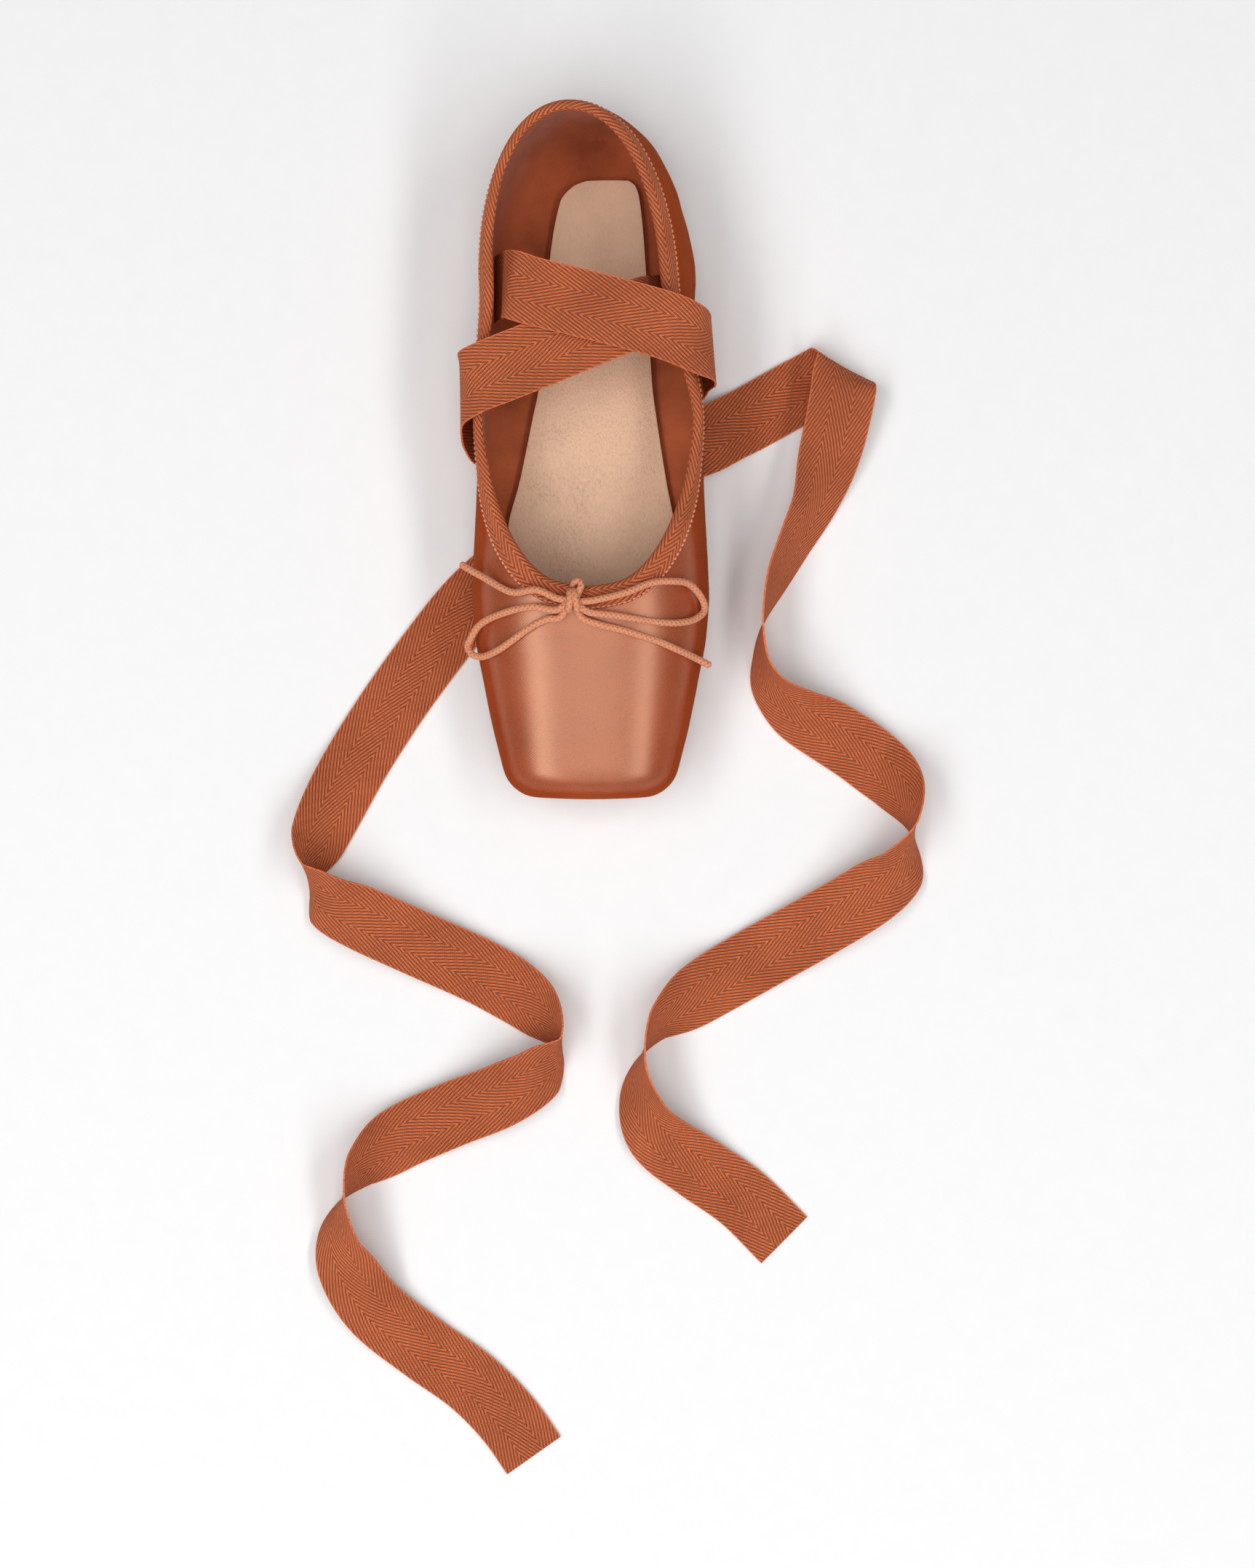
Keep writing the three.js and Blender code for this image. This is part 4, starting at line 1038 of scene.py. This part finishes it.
def stitch_row(name, spots, ways, normals, length, radius):
    """A row of sewn stitches, each a small rounded bar that dips into the cloth at both ends."""
    deselect()
    bpy.ops.mesh.primitive_uv_sphere_add(segments=8, ring_count=6, radius=1)
    one = bpy.context.object
    edit(one, lambda: bpy.ops.transform.resize(value=(length / 2, radius, radius)))
    base = read_points(one)
    base[:, 2] -= 0.35 * radius * (2 * base[:, 0] / length) ** 2
    faces = [tuple(polygon.vertices) for polygon in one.data.polygons]
    bpy.data.objects.remove(one)
    points, polygons = [], []
    for spot, way, normal in zip(spots, ways, normals):
        side = np.cross(normal, way)
        axes = np.stack([way, side, normal])
        first = len(points) * len(base)
        points.append(spot + base @ axes)
        polygons += [tuple(first + k for k in face) for face in faces]
    mesh = bpy.data.meshes.new(name)
    mesh.from_pydata(np.concatenate(points) * MM, [], polygons)
    obj = bpy.data.objects.new(name, mesh)
    bpy.context.collection.objects.link(obj)
    outward(obj)
    smooth(obj, 70)
    return obj


def insole_bottom(y):
    """Height at which the insole clears the upper's turned-in edge."""
    narrow = math.sqrt(max(1 - ((y - HEEL_START) / HEEL_DEPTH) ** 2, 0)) if y > HEEL_START else 1.0
    half = SECTIONS.at("half", y) * narrow
    widest = SECTIONS.at("widest", y)
    under = ground(y) + SOLE_LIFT
    reach = min((INSOLE.at("half", y) + 3) / half, 0.97)
    rise = (widest - under) * (1 - (1 - reach ** UNDER_POWER) ** (1 / UNDER_POWER))
    return under + 2.3 + rise


def board_piece(name, outline, middle, bottom, thick, ease, dish=0.0):
    """A flat board: a grid laid in its outline, extruded to its thickness and eased along its edges."""
    along = np.linspace(0, 1, 141)
    y0, y1 = outline.y[0], outline.y[-1]
    ys = y0 + (y1 - y0) * (0.6 * (0.5 - 0.5 * np.cos(math.pi * along)) + 0.4 * along)
    across = np.linspace(-1, 1, 41)
    points = np.zeros((len(ys), len(across), 3))
    for i, y in enumerate(ys):
        half = outline.at("half", y)
        points[i, :, 0] = middle(y) + across * half
        points[i, :, 1] = y
        points[i, :, 2] = bottom(y) + dish * across ** 2
    obj = grid_piece(name, points)
    outward(obj)
    if read_normals(obj)[len(ys) * 20][2] < 0:
        edit(obj, bpy.ops.mesh.flip_normals)
    apply_modifier(obj, "SOLIDIFY", thickness=thick * MM, offset=1.0)
    apply_modifier(
        obj, "BEVEL", width=ease * MM, segments=3, limit_method="ANGLE", angle_limit=math.radians(50))
    smooth(obj, 40)
    return obj


class ShoeSizes(bpy.types.PropertyGroup):
    """Sizes of the soft pieces."""

    satin_thickness: bpy.props.FloatProperty(
        name="Satin", description="Thickness of the satin and its backing",
        default=1.0 * MM, unit="LENGTH")
    lining_thickness: bpy.props.FloatProperty(
        name="Lining", description="Thickness of the cotton lining", default=0.5 * MM, unit="LENGTH")
    ribbon_width: bpy.props.FloatProperty(
        name="Ribbon width", description="Width of each ribbon", default=22 * MM, unit="LENGTH")
    ribbon_thickness: bpy.props.FloatProperty(
        name="Ribbon thickness", description="Thickness of each ribbon", default=0.5 * MM, unit="LENGTH")
    cord_diameter: bpy.props.FloatProperty(
        name="Cord", description="Diameter of the drawstring", default=2.3 * MM, unit="LENGTH")
    tape_thickness: bpy.props.FloatProperty(
        name="Binding", description="Thickness of the folded tape", default=0.45 * MM, unit="LENGTH")
    insole_thickness: bpy.props.FloatProperty(
        name="Insole", description="Thickness of the insole board", default=2.2 * MM, unit="LENGTH")
    sole_thickness: bpy.props.FloatProperty(
        name="Sole", description="Thickness of the leather sole", default=2.5 * MM, unit="LENGTH")
    stitch_pitch: bpy.props.FloatProperty(
        name="Stitch pitch", description="Way from one stitch to the next",
        default=1.75 * MM, unit="LENGTH")


class ShoeColours(bpy.types.PropertyGroup):
    """Colours of the materials, linear."""

    satin: bpy.props.FloatVectorProperty(
        name="Satin", description="Terracotta satin",
        subtype="COLOR", size=3, default=(0.36, 0.064, 0.019), min=0, max=1)
    twill: bpy.props.FloatVectorProperty(
        name="Twill", description="Ribbons and binding",
        subtype="COLOR", size=3, default=(0.44, 0.112, 0.044), min=0, max=1)
    lining: bpy.props.FloatVectorProperty(
        name="Lining", description="Cotton lining",
        subtype="COLOR", size=3, default=(0.42, 0.1, 0.036), min=0, max=1)
    suede: bpy.props.FloatVectorProperty(
        name="Suede", description="Insole suede",
        subtype="COLOR", size=3, default=(0.86, 0.56, 0.385), min=0, max=1)
    leather: bpy.props.FloatVectorProperty(
        name="Leather", description="Sole leather",
        subtype="COLOR", size=3, default=(0.46, 0.27, 0.15), min=0, max=1)
    cord: bpy.props.FloatVectorProperty(
        name="Cord", description="Drawstring cotton",
        subtype="COLOR", size=3, default=(0.70, 0.28, 0.155), min=0, max=1)
    floor: bpy.props.FloatVectorProperty(
        name="Floor", description="Pale floor",
        subtype="COLOR", size=3, default=(0.90, 0.90, 0.90), min=0, max=1)


class ShoeStage(bpy.types.PropertyGroup):
    """Camera and lights."""

    camera_height: bpy.props.FloatProperty(
        name="Camera height", description="Height of the camera over the floor",
        default=1.2, unit="LENGTH")
    camera_x: bpy.props.FloatProperty(
        name="Camera X", description="Sideways place of the camera", default=12.2 * MM, unit="LENGTH")
    camera_y: bpy.props.FloatProperty(
        name="Camera Y", description="Lengthways place of the camera", default=-109.4 * MM, unit="LENGTH")
    lens: bpy.props.FloatProperty(
        name="Lens", description="Focal length in millimetres", default=81.55, unit="CAMERA")
    surround: bpy.props.FloatProperty(
        name="Surround", description="Brightness of the studio's walls", default=0.12, subtype="FACTOR")


# Soft boxes: name, place, size along X and Y, power in watts
SOFT_BOXES = (
    ("key_left", (-0.90, -0.55, 1.60), (0.62, 2.6), 21.0),
    ("fill_right", (0.98, -0.55, 1.60), (0.34, 2.6), 15.5),
    ("top", (0.02, -0.35, 2.1), (0.8, 2.4), 13.0),
    ("front", (0.0, -1.75, 1.1), (1.4, 0.8), 3.5),
)


class SHOE_OT_stage(bpy.types.Operator):
    """Camera over the shoe, pale floor, soft boxes and surround"""

    bl_idname = "shoe.stage"
    bl_label = "Stage"

    def execute(self, context):
        scene = context.scene
        stage = scene.shoe_stage
        deselect()
        place = (stage.camera_x, stage.camera_y, stage.camera_height)
        bpy.ops.object.camera_add(location=place, rotation=(0, 0, 0))
        camera = context.object
        camera.name = "camera"
        camera.data.lens = stage.lens
        camera.data.sensor_width = 36.0
        camera.data.sensor_fit = "AUTO"
        camera.data.clip_start = 0.01
        camera.data.dof.use_dof = False
        scene.camera = camera
        scene.view_settings.view_transform = "Standard"
        deselect()
        bpy.ops.mesh.primitive_grid_add(
            x_subdivisions=24, y_subdivisions=24, size=8, location=(0, 0, -0.0001))
        floor = context.object
        floor.name = "floor"
        floor.data.materials.append(floor_material(scene.shoe_colours))
        aim = Vector((0, -0.1, 0))
        for name, place, size, power in SOFT_BOXES:
            deselect()
            bpy.ops.object.light_add(type="AREA", location=place)
            light = context.object
            light.name = name
            light.data.shape = "RECTANGLE"
            light.data.size, light.data.size_y = size
            light.data.energy = power
            back = (light.location - aim).normalized()
            right = Vector((0, 1, 0)).cross(back).normalized()
            turn = Matrix((right, back.cross(right), back)).transposed()
            light.rotation_euler = turn.to_euler()
        world = bpy.data.worlds.new("studio")
        world.use_nodes = True
        world.node_tree.nodes["Background"].inputs["Color"].default_value = (1, 1, 1, 1)
        world.node_tree.nodes["Background"].inputs["Strength"].default_value = stage.surround
        scene.world = world
        return {"FINISHED"}


class SHOE_OT_ribbons(bpy.types.Operator):
    """Two herringbone ribbons, sewn inside the sides, crossed over the opening and trailing"""

    bl_idname = "shoe.ribbons"
    bl_label = "Ribbons"

    def execute(self, context):
        sizes = context.scene.shoe_sizes
        width = sizes.ribbon_width
        material = twill_material("ribbon_twill", context.scene.shoe_colours, width / 3, 0.00105, 23, width)
        for name in WRAP:
            obj, line = ribbon_piece(name, sizes)
            obj.name = f"{name}_woven"
            finish_piece(obj, material, "ribbon_twill", name)
        return {"FINISHED"}


class SHOE_OT_drawstring(bpy.types.Operator):
    """The drawstring's bow: wound knot, two loops and two ends of braided cotton"""

    bl_idname = "shoe.drawstring"
    bl_label = "Drawstring bow"

    def execute(self, context):
        diameter = context.scene.shoe_sizes.cord_diameter
        radius = diameter / 2 / MM
        material = cord_material(context.scene.shoe_colours)
        tree = satin_tree()
        knot = knot_piece(tree, radius)
        finish_piece(knot, material, "drawstring_cotton", "drawstring_knot")
        for name in BOW:
            line = bow_line(tree, name)
            obj = cord_piece(f"{name}_braid", line, radius)
            finish_piece(obj, material, "drawstring_cotton", name)
        return {"FINISHED"}


class SHOE_OT_upper(bpy.types.Operator):
    """The satin upper with its folds, toe pleats and back seam, and the cotton lining inside it"""

    bl_idname = "shoe.upper"
    bl_label = "Upper and lining"

    def execute(self, context):
        sizes = context.scene.shoe_sizes
        colours = context.scene.shoe_colours
        satin = skin_piece("upper_satin", 52)
        shape_satin(satin)
        apply_modifier(satin, "SOLIDIFY", thickness=sizes.satin_thickness, offset=-1.0)
        smooth(satin, 50)
        finish_piece(satin, satin_material(colours), "satin", "upper")
        lining = skin_piece("lining_cotton", 44)
        self.shape_lining(lining, sizes)
        finish_piece(lining, lining_material(colours), "binding_twill")
        return {"FINISHED"}

    def shape_lining(self, lining, sizes):
        """Sets the lining inside the satin, with its back seam and the edges of the stiffened box."""
        points, normals = read_points(lining), read_normals(lining)
        place, down = read_attribute(lining, "place"), read_attribute(lining, "down")
        x, y, z = (points / MM).T
        inset = np.full(len(points), 1.35)
        wing = soft_step(0.6, -0.6, y - (21 - 13 * (z / 40) ** 2))
        inset += 0.35 * wing
        seam = np.abs(x - (3 - 0.185 * z))
        inset += np.where(place > 96, 0.5 * np.exp(-(seam / 1.6) ** 2) - 0.5 * np.exp(-(seam / 0.35) ** 2), 0)
        inset += 0.18 * np.sin(0.32 * y + 0.3 * x) * np.sin(0.21 * z) * soft_step(10, 40, place)
        write_points(lining, points - normals * (inset * MM)[:, None])
        apply_modifier(lining, "SOLIDIFY", thickness=sizes.lining_thickness, offset=-1.0)
        smooth(lining, 50)


class SHOE_OT_binding(bpy.types.Operator):
    """The folded tape round the top edge and the stitches that hold it"""

    bl_idname = "shoe.binding"
    bl_label = "Binding"

    def execute(self, context):
        sizes = context.scene.shoe_sizes
        colours = context.scene.shoe_colours
        skin = skin_piece("edge_guide", 52)
        rings, along = binding_rings(skin)
        bpy.data.objects.remove(skin)
        steps = np.linalg.norm(np.diff(np.array(TAPE), axis=0), axis=1)
        across = np.concatenate([[0], np.cumsum(steps)])
        total = along[-1] + np.linalg.norm(rings[0, 8] - rings[-1, 8])
        uv_rows = np.append(along, total)
        uv_across = np.repeat(across[None], len(uv_rows), 0)
        uv_along = np.repeat(uv_rows[:, None], len(across), 1)
        uv = np.stack([uv_across, uv_along], 2)
        closed = np.concatenate([rings, rings[:1]])
        obj = grid_piece("binding_tape", closed, uv=uv)
        weld(obj)
        outward(obj)
        self.face_out(obj)
        apply_modifier(obj, "SOLIDIFY", thickness=sizes.tape_thickness, offset=-1.0)
        apply_modifier(obj, "SUBSURF", levels=1, render_levels=1)
        smooth(obj, 60)
        material = twill_material("binding_twill", colours, 0.0034, 0.00115, 30)
        finish_piece(obj, material, "binding_twill", "binding")
        self.stitches(rings, along, sizes, colours)
        return {"FINISHED"}

    def face_out(self, obj):
        """Turns the tape's faces outwards if they look at the satin."""
        points, normals = read_points(obj), read_normals(obj)
        front = np.argmin(points[:, 1])
        if normals[front][2] < 0:
            edit(obj, bpy.ops.mesh.flip_normals)

    def stitches(self, rings, along, sizes, colours):
        """One row of small stitches along the tape's outer hem."""
        hem = rings[:, 2] * 0.75 + rings[:, 1] * 0.25
        outer = rings[:, 3] - rings[:, 2]
        tangent = np.roll(hem, -1, 0) - np.roll(hem, 1, 0)
        tangent /= np.linalg.norm(tangent, axis=1)[:, None]
        normal = np.cross(tangent, outer)
        normal /= np.linalg.norm(normal, axis=1)[:, None]
        towards = rings[:, 2] - rings[:, 17]
        normal *= np.sign((normal * towards).sum(1))[:, None]
        closed = np.concatenate([hem, hem[:1]])
        walk = np.concatenate([[0], np.cumsum(np.linalg.norm(np.diff(closed, axis=0), axis=1))])
        count = int(walk[-1] / (sizes.stitch_pitch / MM))
        want = np.linspace(0, walk[-1], count, endpoint=False)

        def spread(values):
            ring = np.concatenate([values, values[:1]])
            return np.stack([np.interp(want, walk, ring[:, k]) for k in range(3)], 1)

        ways = spread(tangent)
        ways /= np.linalg.norm(ways, axis=1)[:, None]
        faces = spread(normal)
        faces -= ways * (faces * ways).sum(1)[:, None]
        faces /= np.linalg.norm(faces, axis=1)[:, None]
        length = 0.8 * sizes.stitch_pitch / MM
        obj = stitch_row("binding_stitches", spread(hem) + faces * 0.1, ways, faces, length, 0.36)
        finish_piece(obj, thread_material(colours), "drawstring_cotton")


class SHOE_OT_insole(bpy.types.Operator):
    """The suede insole"""

    bl_idname = "shoe.insole"
    bl_label = "Insole"

    def execute(self, context):
        thick = context.scene.shoe_sizes.insole_thickness / MM
        obj = board_piece(
            "insole_board", INSOLE, lambda y: INSOLE.at("middle", y), insole_bottom, thick, 0.5, 0.25)
        finish_piece(obj, suede_material(context.scene.shoe_colours), "insole_suede", "insole")
        return {"FINISHED"}


class SHOE_OT_outsole(bpy.types.Operator):
    """The leather sole"""

    bl_idname = "shoe.outsole"
    bl_label = "Sole"

    def execute(self, context):
        thick = context.scene.shoe_sizes.sole_thickness / MM
        obj = board_piece("outsole_leather", SOLE, lambda y: SECTIONS.at("base", y), ground, thick, 0.6)
        finish_piece(obj, leather_material(context.scene.shoe_colours), "sole_leather", "outsole")
        return {"FINISHED"}


OPERATORS = (
    SHOE_OT_stage, SHOE_OT_ribbons, SHOE_OT_drawstring, SHOE_OT_upper, SHOE_OT_binding, SHOE_OT_insole,
    SHOE_OT_outsole,
)


class SHOE_PT_panel(bpy.types.Panel):
    """Lists the shoe's pieces and sizes"""

    bl_idname = "SHOE_PT_panel"
    bl_label = "Pointe shoe"
    bl_space_type = "VIEW_3D"
    bl_region_type = "UI"
    bl_category = "Pointe shoe"

    def draw(self, context):
        for operator in OPERATORS:
            self.layout.operator(operator.bl_idname)
        for group in ("shoe_sizes", "shoe_colours", "shoe_stage"):
            settings = getattr(context.scene, group)
            for name in settings.__annotations__:
                self.layout.prop(settings, name)


CLASSES = (ShoeSizes, ShoeColours, ShoeStage, *OPERATORS, SHOE_PT_panel)


def register():
    for cls in CLASSES:
        bpy.utils.register_class(cls)
    bpy.types.Scene.shoe_sizes = bpy.props.PointerProperty(type=ShoeSizes)
    bpy.types.Scene.shoe_colours = bpy.props.PointerProperty(type=ShoeColours)
    bpy.types.Scene.shoe_stage = bpy.props.PointerProperty(type=ShoeStage)


def unregister():
    del bpy.types.Scene.shoe_sizes
    del bpy.types.Scene.shoe_colours
    del bpy.types.Scene.shoe_stage
    for cls in reversed(CLASSES):
        bpy.utils.unregister_class(cls)


def main():
    register()
    bpy.ops.shoe.stage()
    bpy.ops.shoe.ribbons()
    bpy.ops.shoe.drawstring()
    bpy.ops.shoe.upper()
    bpy.ops.shoe.binding()
    bpy.ops.shoe.insole()
    bpy.ops.shoe.outsole()
    deselect()


if __name__ == "__main__":
    main()
